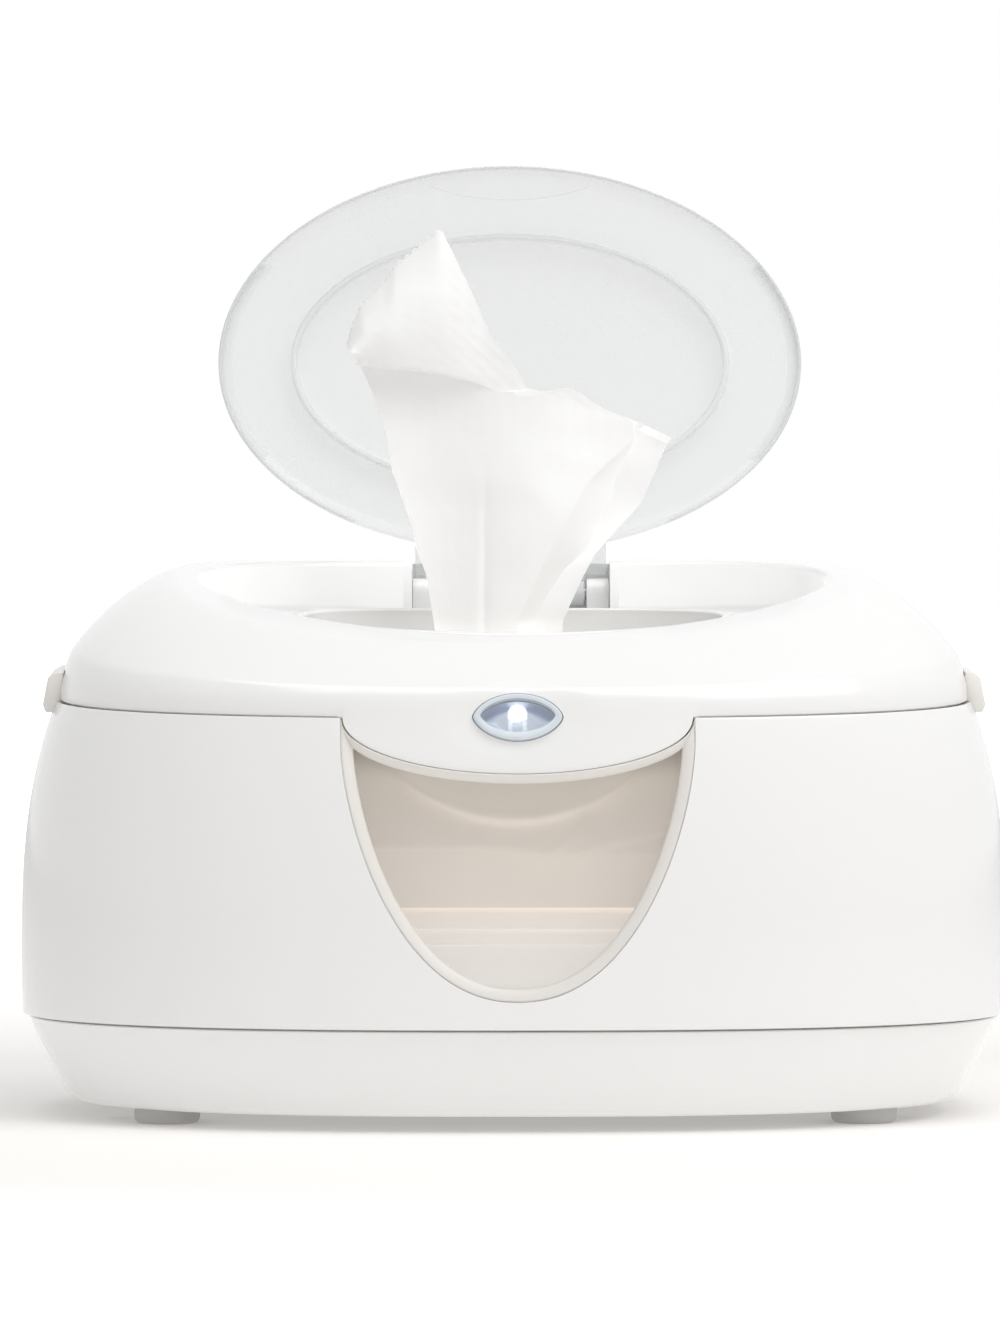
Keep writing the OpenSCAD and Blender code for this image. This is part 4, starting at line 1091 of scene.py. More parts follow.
    def window_pane(self) -> bpy.types.Object:
        """Build the curved glazing."""
        form, near = self.form, self.form.wall + 0.3 * MM + 1.8 * MM
        side, top, rows = self.band - 2 * MM, form.gap + self.top_band - 0.8 * MM, 14
        x = (form.window / 2 - side) * np.sin(np.linspace(-math.pi / 2, math.pi / 2, 65))
        high = form.seam_front - top - form.tongue_at(x)
        reach = np.abs(x) / (form.window / 2 - side)
        low = form.window_bend - (form.window_bend - form.window_low - side) * (1 - reach**2.2) ** (1 / 1.6)
        sheets = []
        for inset in (near, near + self.pane):
            for k in range(rows):
                z = low + (high - low) * k / (rows - 1)
                sheets.append(np.column_stack([x, form.front(x, z, inset), z]))
        face = grid_faces(rows, 65, False, False)
        half = rows * 65
        faces = face + [tuple(half + c for c in reversed(f)) for f in face]
        rim = list(range(65)) + [k * 65 + 64 for k in range(1, rows)]
        rim += list(range(half - 2, half - 66, -1)) + [k * 65 for k in range(rows - 2, 0, -1)]
        faces += [(a, b, half + b, half + a) for a, b in zip(rim, rim[1:] + rim[:1])]
        obj = tidy(mesh_object("window_glazing", np.vstack(sheets), faces), 40)
        return finish_piece(obj, Slot.PANE, "base", "window_pane")


HINGE_X = 30 * MM
KNUCKLE = 11.2 * MM
KNUCKLE_R = 3.6 * MM


def hinge_axis() -> Vector:
    """Return the place of the lid's hinge axis."""
    joint = next(j for j in frame["joints"] if j["name"] == "lid_hinge")
    return Vector(joint["pos_m"])


def across(obj: bpy.types.Object, x: float, y: float, z: float) -> bpy.types.Object:
    """Lay a piece that was made along Z along X, and move it."""
    return turned(obj, Matrix.Translation((x, y, z)) @ Matrix.Rotation(math.pi / 2, 4, "Y"))


def hinge_tools(piece: str) -> list[bpy.types.Object]:
    """Return the tools that clear the walls round the hinge knuckles."""
    axis = hinge_axis()
    half = KNUCKLE / 2 + 5.8 * MM
    return [
        across(rod(f"{piece}_hinge_room", KNUCKLE_R + 0.4 * MM, -half, half), side * HINGE_X, axis.y, axis.z)
        for side in (-1, 1)
    ]


def hinge_knuckles(piece: str) -> list[bpy.types.Object]:
    """Build the knuckles of the lid hinge on the shell or on the lid.

    Args:
        piece: "shell" or "lid".

    Returns:
        The knuckles and the webs that carry them.
    """
    axis, parts = hinge_axis(), []
    for side in (-1, 1):
        middles = (0.0,) if piece == "lid" else (-1.0, 1.0)
        length = KNUCKLE if piece == "lid" else 5 * MM
        for middle in middles:
            x = side * HINGE_X + middle * (KNUCKLE / 2 + 0.4 * MM + 2.5 * MM)
            barrel = rod("knuckle", KNUCKLE_R, -length / 2, length / 2, 0.4 * MM, 48)
            cut(barrel, rod("bore", 1.55 * MM, -length, length, 0, 32))
            parts.append(across(barrel, x, axis.y, axis.z))
            if piece == "shell":
                outline = [(-5.1, -1), (-5.1, -14), (-1.8, -14), (3.6, 0), (-0.6, 0)]
            else:
                outline = [(-5.4, -1), (0, -1), (0, 6), (-5.4, 6)]
            flat = np.array(outline) * MM
            web = prism("web", flat, -length / 2, length / 2)
            turned(web, Matrix.Rotation(math.pi / 2, 4, "Z") @ Matrix.Rotation(math.pi / 2, 4, "X"))
            turned(web, Matrix.Translation((x, 0, 0)))
            parts.append(turned(web, Matrix.Translation((0, axis.y, axis.z)) @ Matrix.Rotation(FORM.tilt, 4, "X")))
    return parts


@dataclass
class Recipe:
    """A Geometry Nodes tree with named inputs, ending in Realize Instances and Set Material.

    Attributes:
        name: Name of the tree.
    """

    name: str
    tree: bpy.types.NodeTree = field(init=False)
    entries: dict[str, str] = field(init=False, default_factory=dict)

    def __post_init__(self) -> None:
        """Start the tree with its geometry and material inputs."""
        self.tree = bpy.data.node_groups.new(self.name, "GeometryNodeTree")
        self.tree.interface.new_socket("Geometry", in_out="INPUT", socket_type="NodeSocketGeometry")
        self.tree.interface.new_socket("Geometry", in_out="OUTPUT", socket_type="NodeSocketGeometry")
        self.source = self.tree.nodes.new("NodeGroupInput")
        self.result = self.tree.nodes.new("NodeGroupOutput")
        self.size("Material", "NodeSocketMaterial")

    def size(self, label: str, kind: str = "NodeSocketFloat") -> bpy.types.NodeSocket:
        """Add a named input.

        Args:
            label: Its name.
            kind: Its socket type.

        Returns:
            The socket that gives its value inside the tree.
        """
        entry = self.tree.interface.new_socket(label, in_out="INPUT", socket_type=kind)
        self.entries[label] = entry.identifier
        return self.source.outputs[label]

    def step(self, kind: str, setup: dict[str, object] | None = None, **values: object) -> bpy.types.Node:
        """Add a node and fill its inputs.

        Args:
            kind: Type of the node.
            setup: Properties of the node itself.
            **values: Values or sockets for its inputs, with _ for a space.

        Returns:
            The new node.
        """
        node = self.tree.nodes.new(kind)
        for key, value in (setup or {}).items():
            setattr(node, key, value)
        for key, value in values.items():
            socket = next(s for s in node.inputs if s.name == key.replace("_", " ") and s.enabled)
            for item in value if isinstance(value, list) else [value]:
                if isinstance(item, bpy.types.NodeSocket):
                    self.tree.links.new(item, socket)
                else:
                    socket.default_value = item
        return node

    def math(self, work: str, first: object, second: object) -> bpy.types.NodeSocket:
        """Add a calculation on two values and return its result."""
        node = self.tree.nodes.new("ShaderNodeMath")
        node.operation = work
        for socket, value in zip(node.inputs, (first, second)):
            if isinstance(value, bpy.types.NodeSocket):
                self.tree.links.new(value, socket)
            else:
                socket.default_value = value
        return node.outputs["Value"]

    def finish(self, shape: bpy.types.NodeSocket) -> None:
        """End the tree with real geometry and its material."""
        real = self.step("GeometryNodeRealizeInstances", Geometry=shape)
        dress = self.step(
            "GeometryNodeSetMaterial", Geometry=real.outputs["Geometry"], Material=self.source.outputs["Material"]
        )
        self.tree.links.new(dress.outputs["Geometry"], self.result.inputs["Geometry"])

    def make(self, obj: bpy.types.Object, slot: Slot, **values: float) -> bpy.types.Object:
        """Run the tree on an object and keep the result as a plain mesh.

        Args:
            obj: The object whose mesh the tree starts from.
            slot: Finish of the result.
            **values: Values of the named inputs, with _ for a space.

        Returns:
            The same object, with the result as its mesh.
        """
        run = obj.modifiers.new(self.name, "NODES")
        run.node_group = self.tree
        run[self.entries["Material"]] = FINISHES[slot].material()
        for label, value in values.items():
            run[self.entries[label.replace("_", " ")]] = value
        bake(obj)
        obj.data.shade_smooth()
        obj.data.set_sharp_from_angle(angle=math.radians(30))
        return obj


def screw_recipe() -> Recipe:
    """Make the tree that sets a cross-recessed screw on each point, head downwards.

    Returns:
        The tree, with the head's, shank's and recess's sizes as inputs.
    """
    tree = Recipe("screws")
    head_r, head_h = tree.size("Head radius"), tree.size("Head height")
    shank_r, shank_l = tree.size("Shank radius"), tree.size("Shank length")
    pitch, tilt = tree.size("Pitch"), tree.size("Tilt")
    edge = 0.0006

    def cylinder(radius: object, depth: object, low: object, cone: object = None) -> bpy.types.NodeSocket:
        """Add a round piece that starts at a height and return it."""
        top = radius if cone is None else cone
        piece = tree.step(
            "GeometryNodeMeshCone", {"fill_type": "NGON"}, Vertices=40, Radius_Top=top, Radius_Bottom=radius, Depth=depth
        )
        place = tree.step("ShaderNodeCombineXYZ", Z=low)
        return tree.step(
            "GeometryNodeTransform", Geometry=piece.outputs["Mesh"], Translation=place.outputs["Vector"]
        ).outputs["Geometry"]

    low = tree.math("MULTIPLY", head_h, -1.0)
    disc = cylinder(tree.math("SUBTRACT", head_r, edge), edge, low, head_r)
    body = cylinder(head_r, tree.math("SUBTRACT", head_h, edge), tree.math("ADD", low, edge))
    head = tree.step("GeometryNodeMeshBoolean", {"operation": "UNION"}, Mesh=[disc, body])
    arm = tree.math("MULTIPLY", head_r, 1.15)
    bars = []
    for x, y in ((arm, 0.0009), (0.0009, arm)):
        wide = tree.step("ShaderNodeCombineXYZ", X=x, Y=y, Z=0.0022)
        bar = tree.step("GeometryNodeMeshCube", Size=wide.outputs["Vector"])
        place = tree.step("ShaderNodeCombineXYZ", Z=low)
        moved = tree.step("GeometryNodeTransform", Geometry=bar.outputs["Mesh"], Translation=place.outputs["Vector"])
        bars.append(moved.outputs["Geometry"])
    notch = tree.step("GeometryNodeMeshBoolean", {"operation": "DIFFERENCE"}, Mesh_1=head.outputs["Mesh"], Mesh_2=bars)
    shank = cylinder(tree.math("SUBTRACT", shank_r, 0.0002), tree.math("SUBTRACT", shank_l, 0.001), 0.0)
    tip = cylinder(
        tree.math("SUBTRACT", shank_r, 0.0002), 0.001, tree.math("SUBTRACT", shank_l, 0.001), tree.math("MULTIPLY", shank_r, 0.4)
    )
    length = tree.math("SUBTRACT", shank_l, 0.0025)
    turns = tree.math("DIVIDE", length, pitch)
    spiral = tree.step(
        "GeometryNodeCurveSpiral", Resolution=14, Rotations=turns, Start_Radius=tree.math("SUBTRACT", shank_r, 0.0002),
        End_Radius=tree.math("SUBTRACT", shank_r, 0.0002), Height=length,
    )
    profile = tree.step("GeometryNodeCurvePrimitiveCircle", Resolution=4, Radius=0.0002)
    thread = tree.step(
        "GeometryNodeCurveToMesh", Curve=spiral.outputs["Curve"], Profile_Curve=profile.outputs["Curve"], Fill_Caps=True
    )
    lift = tree.step("GeometryNodeTransform", Geometry=thread.outputs["Mesh"], Translation=(0, 0, 0.001))
    whole = tree.step(
        "GeometryNodeJoinGeometry", Geometry=[notch.outputs["Mesh"], shank, tip, lift.outputs["Geometry"]]
    )
    points = tree.step("GeometryNodeMeshToPoints", Mesh=tree.source.outputs["Geometry"])
    turn = tree.step("ShaderNodeCombineXYZ", X=tilt)
    spread = tree.step(
        "GeometryNodeInstanceOnPoints", Points=points.outputs["Points"], Instance=whole.outputs["Geometry"],
        Rotation=turn.outputs["Vector"],
    )
    tree.finish(spread.outputs["Instances"])
    return tree


def coil_recipe() -> Recipe:
    """Make the tree that winds a coil spring of round wire along X from each point.

    Returns:
        The tree, with the wire's, coil's and turns' sizes as inputs.
    """
    tree = Recipe("coils")
    radius, wire = tree.size("Radius"), tree.size("Wire")
    turns, length = tree.size("Turns"), tree.size("Length")
    spiral = tree.step(
        "GeometryNodeCurveSpiral", Resolution=28, Rotations=turns, Start_Radius=radius, End_Radius=radius, Height=length
    )
    profile = tree.step("GeometryNodeCurvePrimitiveCircle", Resolution=12, Radius=wire)
    coil = tree.step(
        "GeometryNodeCurveToMesh", Curve=spiral.outputs["Curve"], Profile_Curve=profile.outputs["Curve"], Fill_Caps=True
    )
    turned_up = tree.step("GeometryNodeTransform", Geometry=coil.outputs["Mesh"], Rotation=(0, math.pi / 2, 0))
    points = tree.step("GeometryNodeMeshToPoints", Mesh=tree.source.outputs["Geometry"])
    spread = tree.step(
        "GeometryNodeInstanceOnPoints", Points=points.outputs["Points"], Instance=turned_up.outputs["Geometry"]
    )
    tree.finish(spread.outputs["Instances"])
    return tree


def lead_recipe() -> Recipe:
    """Make the tree that runs a round insulated lead along a chain of points.

    Returns:
        The tree, with the lead's radius as an input.
    """
    tree = Recipe("leads")
    radius = tree.size("Radius")
    path = tree.step("GeometryNodeMeshToCurve", Mesh=tree.source.outputs["Geometry"])
    smooth = tree.step("GeometryNodeCurveSplineType", {"spline_type": "CATMULL_ROM"}, Curve=path.outputs["Curve"])
    even = tree.step("GeometryNodeResampleCurve", {"mode": "LENGTH"}, Curve=smooth.outputs["Curve"], Length=0.0015)
    profile = tree.step("GeometryNodeCurvePrimitiveCircle", Resolution=14, Radius=radius)
    lead = tree.step(
        "GeometryNodeCurveToMesh", Curve=even.outputs["Curve"], Profile_Curve=profile.outputs["Curve"], Fill_Caps=True
    )
    tree.finish(lead.outputs["Mesh"])
    return tree


def joint_recipe() -> Recipe:
    """Make the tree that sets a small solder dome on each point of a board.

    Returns:
        The tree, with the dome's radius as an input.
    """
    tree = Recipe("solder")
    radius, tilt = tree.size("Radius"), tree.size("Tilt")
    dome = tree.step("GeometryNodeMeshUVSphere", Segments=12, Rings=6, Radius=radius)
    flat = tree.step("GeometryNodeTransform", Geometry=dome.outputs["Mesh"], Scale=(1, 1, 0.5))
    points = tree.step("GeometryNodeMeshToPoints", Mesh=tree.source.outputs["Geometry"])
    turn = tree.step("ShaderNodeCombineXYZ", X=tilt)
    spread = tree.step(
        "GeometryNodeInstanceOnPoints", Points=points.outputs["Points"], Instance=flat.outputs["Geometry"],
        Rotation=turn.outputs["Vector"],
    )
    tree.finish(spread.outputs["Instances"])
    return tree


@dataclass
class Lid:
    """The lid's moulding and what it carries inside.

    Attributes:
        form: The housing's form.
        step: How far the lid stands inside the shell's outer surface.
        side: Height of the lid's upright side.
        side_round: Width of the shoulder at the sides.
        front_round: Width of the shoulder at the front.
        back_round: Width of the shoulder at the back.
        power: Roundness of the shoulder.
        height: Height of the lid's top at the middle.
        crown: How far the top falls to the dish's front and back.
        slope: Rise of the top to the back, in radians.
        dish: Width and depth of the sunk oval.
        mouth: Width and depth of the mouth.
        lip: Thickness and height of the mouth's lip.
        sunk: Depth of the dish at the hinge.
        bow: Bow of the dish's floor.
    """

    form: HousingForm = FORM
    step: float = 0.6 * MM
    side: float = 6 * MM
    side_round: float = 31 * MM
    front_round: float = 22 * MM
    back_round: float = 14 * MM
    power: float = 1.45
    height: float = 141 * MM
    crown: float = 5.5 * MM
    slope: float = math.radians(9)
    dish: tuple[float, float] = (165 * MM, 114 * MM)
    mouth: tuple[float, float] = (110 * MM, 62 * MM)
    lip: tuple[float, float] = (2.5 * MM, 1.8 * MM)
    sunk: float = 6 * MM
    bow: float = 5 * MM
    hinge: tuple[float, float] = (64 * MM, 135.903 * MM)
    closed: float = math.radians(5.235)
    ways: Ways = field(init=False)

    def __post_init__(self) -> None:
        """Work out the directions round the lid."""
        self.ways = Ways(self.form)

    def top(self, y: Points | float) -> Points:
        """Return the height of the lid's top."""
        return self.height + y * math.tan(self.slope) - self.crown * (2 * y / self.dish[1]) ** 2

    def floor(self, y: Points | float) -> Points:
        """Return the height of the dish's floor."""
        low = self.hinge[1] - self.sunk - (self.hinge[0] - y) * math.tan(self.closed)
        return low + self.bow * (1 - (2 * y / self.dish[1]) ** 2)

    def shoulder(self, roll: float, inset: float = 0.0) -> Points:
        """Return a ring on the shoulder.

        Args:
            roll: 0 at the seam and pi/2 on the top.
            inset: How far inside the outer surface.

        Returns:
            The ring.
        """
        form, way = self.form, self.ways.way
        c, s = math.cos(roll) ** (2 / self.power), math.sin(roll) ** (2 / self.power)
        c = c if roll < math.pi / 2 - 1e-9 else 0.0
        a = form.half_width(self.ways.seam) - self.step - inset - self.side_round * (1 - c)
        b = form.half_depth(self.ways.seam) - self.step - inset - (self.front_round + self.back_round) / 2 * (1 - c)
        r = form.reach(a, b, way)
        y = (self.front_round - self.back_round) / 2 * (1 - c) + r * np.sin(way)
        side_top = self.ways.seam + self.side
        return np.column_stack([r * np.cos(way), y, side_top + (self.top(y) - inset - side_top) * s])

    def edge(self, share: float, inset: float, rise: float = 0.0) -> Points:
        """Return a ring between the lid's lower edge and its foot on the seam.

        Args:
            share: 0 at the lower edge and 1 at the foot.
            inset: How far inside the outer surface.
            rise: How far above the lower edge.

        Returns:
            The ring.
        """
        form, ways = self.form, self.ways
        at_seam = ways.wall(ways.seam)
        drop = np.where(at_seam[:, 1] < 0, form.tongue_at(at_seam[:, 0]), 0.0)
        low = ways.seam + form.gap / 2 - 0.2 * MM - 0.45 * MM * drop / form.tongue - drop + rise
        high = ways.seam + form.gap / 2 + 0.4 * MM
        z = low + (high - low) * share
        return ways.wall(z, self.step + inset)

    def oval(self, size: tuple[float, float], grow: float, level: str, rise: float) -> Points:
        """Return an oval ring on the top, on the dish's floor or in the seam's plane.

        Args:
            size: Width and depth of the oval.
            grow: How much wider it is all round.
            level: "top", "floor" or "seam".
            rise: How far above that level.

        Returns:
            The ring.
        """
        ring = self.ways.ring(size[0] / 2 + grow, size[1] / 2 + grow, 0.0, 2.0)
        y = ring[:, 1]
        seam = self.form.seam + math.tan(self.form.tilt) * y
        ring[:, 2] = {"top": self.top(y), "floor": self.floor(y), "seam": seam}[level] + rise
        return ring

    def moulding_rings(self) -> list[Points]:
        """Return the rings of the lid's outer and inner skin, as a closed loop."""
        turn = math.pi / 2
        outer = [self.edge(0, 0.5 * MM), self.edge(0, 0.15 * MM, 0.15 * MM), self.edge(0, 0, 0.5 * MM)]
        outer += [self.edge(s, 0, 0.5 * MM * (1 - s)) for s in np.linspace(0, 1, 13)[1:]]
        foot = self.shoulder(0)
        start = foot.copy()
        start[:, 2] = self.ways.seam + self.form.gap / 2 + 0.4 * MM
        outer += [start + (foot - start) * s for s in (0.25, 0.5, 0.75)]
        outer += [self.shoulder(turn * s) for s in np.linspace(0, 1, 29) ** 0.9]
        body = np.array(outer)
        for _ in range(40):
            middle = (body[:-2] + 2 * body[1:-1] + body[2:]) / 4
            body[6:24] = middle[5:23]
        rings = list(self.dimple(body))
        fillet = 1.7 * MM
        rings += [
            self.oval(self.dish, fillet * (1 - math.sin(turn * k / 7)), "top", -fillet * (1 - math.cos(turn * k / 7)))
            for k in range(8)
        ]
        hollow = 3 * MM
        rings += [
            self.oval(self.dish, -0.7 * MM - hollow * (1 - math.cos(turn * k / 6)), "floor", hollow * (1 - math.sin(turn * k / 6)))
            for k in range(7)
        ]
        wide, high = self.lip
        rings += [self.oval(self.mouth, wide + g * MM, "floor", 0) for g in (16, 8, 2.5)]
        rings += [self.oval(self.mouth, wide + g * MM, "floor", r * MM) for g, r in ((1, 0), (0.3, 0.3), (0, 0.9))]
        rings += [
            self.oval(self.mouth, wide / 2 + wide / 2 * math.cos(math.pi * k / 8), "floor", high - 0.8 * MM + 0.8 * MM * math.sin(math.pi * k / 8))
            for k in range(9)
        ]
        rings += [self.oval(self.mouth, 0, "floor", -0.5 * MM), self.oval(self.mouth, 0, "seam", 1.2 * MM)]
        rings += [self.oval(self.mouth, 0.4 * MM, "seam", 0.8 * MM), self.oval(self.mouth, wide - 0.5 * MM, "seam", 0.8 * MM)]
        wall = self.form.wall
        rings += [self.oval(self.mouth, wide - 0.5 * MM, "floor", -wall), self.oval(self.dish, wall - 1.5 * MM, "floor", -wall)]
        rings += [self.oval(self.dish, wall - 0.5 * MM, "top", -wall)]
        rings += [self.shoulder(turn * s, wall) for s in (0.93, 0.8, 0.66, 0.52, 0.38, 0.24, 0.12, 0)]
        inner = self.shoulder(0, wall)
        inner[:, 2] = self.ways.seam + self.form.gap / 2 + 0.4 * MM
        rings += [inner] + [self.edge(s, wall) for s in (0.66, 0.33, 0)]
        rings += [self.edge(0, wall, -0.18 * MM), self.edge(0, 0.95 * MM, -0.18 * MM), self.edge(0, 0.85 * MM)]
        return rings

    def dimple(self, body: Points) -> Points:
        """Sink the tongue's surface softly round the button.

        Args:
            body: The outer rings.

        Returns:
            The rings with the shallow dimple.
        """
        place = button_place(self.form, self.step)
        near = np.array([[*(place.inverted() @ Vector(p))] for p in body.reshape(-1, 3)])
        far = np.sqrt((near[:, 0] / (11.3 * MM)) ** 2 + (near[:, 1] / (6 * MM)) ** 2)
        sink = np.clip((1.9 - far) / 0.9, 0, 1)
        sink = 0.8 * MM * sink * sink * (3 - 2 * sink) * (body.reshape(-1, 3)[:, 1] < -0.04)
        inward = np.array(place.to_3x3() @ Vector((0, 0, -1)))
        return (body.reshape(-1, 3) + sink[:, None] * inward).reshape(body.shape)

    def build(self) -> None:
        """Build and dress the lid's moulding and what it carries."""
        self.moulding()
        polished("lid_inner_cover", Slot.INNER, 0.3 * MM)
        polished("heater_plate", Slot.PLATE, 0.15 * MM)
        polished("heater_element", Slot.FOIL, 0.15 * MM)
        polished("thermostat", Slot.DARK, 0.3 * MM)
        polished("thermal_fuse", Slot.STEEL, 0.3 * MM)
        polished("circuit_board", Slot.BOARD, 0.15 * MM)
        polished("button_switch", Slot.DARK, 0.15 * MM)
        self.pads()
        polished("power_socket", Slot.DARK, 0.25 * MM)
        polished("socket_contact", Slot.STEEL, 0.2 * MM)
        polished("flip_hinge_pin", Slot.STEEL, 0.3 * MM)
        self.leads()
        self.solder()

    def moulding(self) -> bpy.types.Object:
        """Build the lid's white moulding with its pocket, ears and knuckles, and painted light on its dish and mouth
        walls.
        """
        form = self.form
        obj = tidy(skin("lid_moulding", self.moulding_rings(), True), 40)
        half, near, back = 26.8 * MM, 45 * MM, 67.8 * MM
        low, wall = 129 * MM, form.wall
        pocket = block("pocket", (-half - wall, near - wall, low - wall), (half + wall, back + wall, low + 30 * MM))
        turn = math.pi / 2
        inner = self.shoulder(0, wall / 2)
        inner[:, 2] = self.ways.seam
        core = [inner] + [self.shoulder(turn * s, wall / 2) for s in (0, 0.2, 0.35, 0.5, 0.65, 0.8, 1)]
        y = (self.front_round - self.back_round) / 2
        trim = skin("core", core, False, (0, 0, form.seam), (0, y, float(self.top(y)) - wall / 2))
        tidy(trim)
        space = [self.oval(self.dish, -1 * MM, "floor", 0), self.oval(self.dish, 0, "top", -1.2 * MM)]
        space += [self.oval(self.dish, 0, "top", 30 * MM)]
        room = skin("dish_room", space, False, (0, 0, float(self.floor(0.0))), (0, 0, float(self.top(0.0)) + 30 * MM))
        tidy(room)
        fit = pocket.modifiers.new("trim", "BOOLEAN")
        fit.operation, fit.solver, fit.object = "INTERSECT", "EXACT", trim
        less = pocket.modifiers.new("room", "BOOLEAN")
        less.operation, less.solver, less.object = "DIFFERENCE", "EXACT", room
        bake(pocket)
        bpy.data.objects.remove(trim)
        bpy.data.objects.remove(room)
        add = obj.modifiers.new("pocket", "BOOLEAN")
        add.operation, add.solver, add.object = "UNION", "EXACT", pocket
        bake(obj)
        bpy.data.objects.remove(pocket)
        hollow = block("hollow", (-half, near, low), (half, back, low + 60 * MM))
        hole = prism("button_hole", pointed_oval(22.6 * MM + 0.6 * MM, 12 * MM + 0.6 * MM, 40), -5 * MM, 5 * MM)
        turned(hole, button_place(form, self.step))
        inlet = rod("inlet", 5.6 * MM, -20 * MM, 20 * MM, 0, 64)
        axis = hinge_axis()
        turned(inlet, form.at_seam() @ Matrix.Translation((0, axis.y, 9.1 * MM)) @ Matrix.Rotation(math.pi / 2, 4, "X"))
        tools = [hollow, hole, inlet, *hinge_tools("lid")]
        tools += [Housing().side_notch(side) for side in (-1, 1)]
        cut(obj, *tools)
        obj.data.set_sharp_from_angle(angle=math.radians(40))
        soften(obj, 0.35 * MM, 2, 48)
        parts = [obj, *hinge_knuckles("lid"), *self.ears(), *self.bosses()]
        # The mark carries painted light on the dish and mouth walls, which lifts their shade.
        obj = mark_thickness_and_glow(join("lid_moulding", parts), self.painted_light_hollows)
        return finish_piece(obj, Slot.SHELL, "lid", "lid_shell")

    def painted_light_hollows(self, points: Points) -> Points:
        """Return the painted light on the upright walls of the dish and the mouth, which lifts their shade: 1 on the
        walls, fading out at their edges.
        """
        x, y, z = points.T
        floor, top = self.floor(y), self.top(y)
        dish = np.hypot(2 * x / self.dish[0], 2 * y / self.dish[1]) < 1.02
        mouth = np.hypot(2 * x / self.mouth[0], 2 * y / self.mouth[1]) < 1.01
        wall = np.clip((z - floor - self.lip[1]) / (1.5 * MM), 0, 1) * np.clip((top - z) / (1.5 * MM), 0, 1)
        return np.maximum(wall * dish, np.clip((floor - z) / (1.5 * MM), 0, 1) * mouth)

    def pads(self) -> bpy.types.Object:
        """Polish the rubber pads and give them their own copy of the mesh."""
        obj = polished("button_pads", Slot.GASKET, 0.2 * MM)
        place = button_place(self.form, self.step)
        give(obj)
        return obj

    def ears(self) -> list[bpy.types.Object]:
        """Build the two ears that hold the flip door's pin."""
        y, z = self.hinge
        parts = []
        for side in (-1, 1):
            t = np.linspace(-math.pi * 0.02, math.pi * 1.02, 25)
            arc = np.column_stack([4 * np.cos(t), 4 * np.sin(t)])
            outline = np.vstack([arc, [(-4, -6.9), (3.7, -6.9)]]) * MM
            ear = prism("ear", outline, -3.1 * MM, 3.1 * MM)
            soften(ear, 0.4 * MM, 2, 40)
            turned(ear, Matrix.Rotation(math.pi / 2, 4, "Z") @ Matrix.Rotation(math.pi / 2, 4, "X"))
            parts.append(turned(ear, Matrix.Translation((side * 23.65 * MM, y, z))))
        return parts

    def bosses(self) -> list[bpy.types.Object]:
        """Build the screw bosses under the lid and the posts behind the button."""
        spots = [(100.5, 36), (100.5, -36), (50, 65), (62, -62)]
        parts = []
        for x, y in spots:
            for side in (-1, 1):
                boss = rod("boss", 3.5 * MM, 4.8 * MM, 12 * MM, 0.3 * MM, 40)
                cut(boss, rod("bore", 1.55 * MM, 0, 11 * MM, 0, 32))
                parts.append(turned(boss, self.form.at_seam() @ Matrix.Translation((side * x * MM, y * MM, 0))))
        for side in (-1, 1):
            post = rod("post", 2 * MM, -9 * MM, -1.5 * MM, 0.2 * MM, 32)
            parts.append(turned(post, button_place(self.form, self.step) @ Matrix.Translation((side * 19 * MM, 0, 0))))
        return parts

    def leads(self) -> bpy.types.Object:
        """Run the pair of insulated leads from the socket to the board."""
        route = [
            (3, 66, 8), (10, 63.5, 5.4), (22, 60.5, 3.9), (40, 56, 3.9), (58, 47, 3.9), (74, 34, 3.9), (83, 18, 3.9),
            (86, 0, 3.9), (83, -18, 3.9), (74, -34, 3.9), (60, -45, 3.9), (44, -54, 3.9), (30, -61, 4.4), (20, -67, 4.4),
            (16, -70.4, 4.4),
        ]
        points, edges = [], []
        for side in (-0.5, 0.5):
            first = len(points)
            for k, (x, y, z) in enumerate(route):
                ahead, behind = route[min(k + 1, 14)], route[max(k - 1, 0)]
                way = Vector((ahead[0] - behind[0], ahead[1] - behind[1], 0)).normalized()
                points.append((x - side * way.y, y + side * way.x, z))
                if k:
                    edges.append((first + k - 1, first + k))
        mesh = bpy.data.meshes.new("lead_pair")
        mesh.from_pydata([tuple(c * MM for c in p) for p in points], edges, [])
        obj = bpy.data.objects.new("lead_pair", mesh)
        bpy.context.scene.collection.objects.link(obj)
        turned(obj, self.form.at_seam())
        lead_recipe().make(obj, Slot.LEAD, Radius=0.48 * MM)
        return finish_piece(obj, Slot.LEAD, "lid", "lid_leads")

    def solder(self) -> bpy.types.Object:
        """Set solder joints on the circuit board."""
        spots = [(x * 1.8, y * 2.4, -10.55) for x in (-9, -8, -7, 7, 8, 9) for y in (-2, -1, 0, 1, 2)]
        mesh = bpy.data.meshes.new("solder_joints")
        mesh.from_pydata([tuple(c * MM for c in p) for p in spots], [], [])
        obj = bpy.data.objects.new("solder_joints", mesh)
        bpy.context.scene.collection.objects.link(obj)
        place = button_place(self.form, self.step)
        turned(obj, place)
        joint_recipe().make(obj, Slot.STEEL, Radius=0.5 * MM, Tilt=place.to_euler().x)
        return finish_piece(obj, Slot.STEEL, "lid")


def button_place(form: HousingForm, step: float) -> Matrix:
    """Return the place of the button: +Z comes straight out of the lid's front."""
    z = form.seam_front + 0.3 * MM
    y = -float(form.half_depth(z)) + step
    tilt = math.degrees(math.atan(form.front_draw * form.profile / (form.seam - form.widest))) - 1
    return Matrix.Translation((0, y, z)) @ Matrix.Rotation(math.radians(90 - tilt), 4, "X")


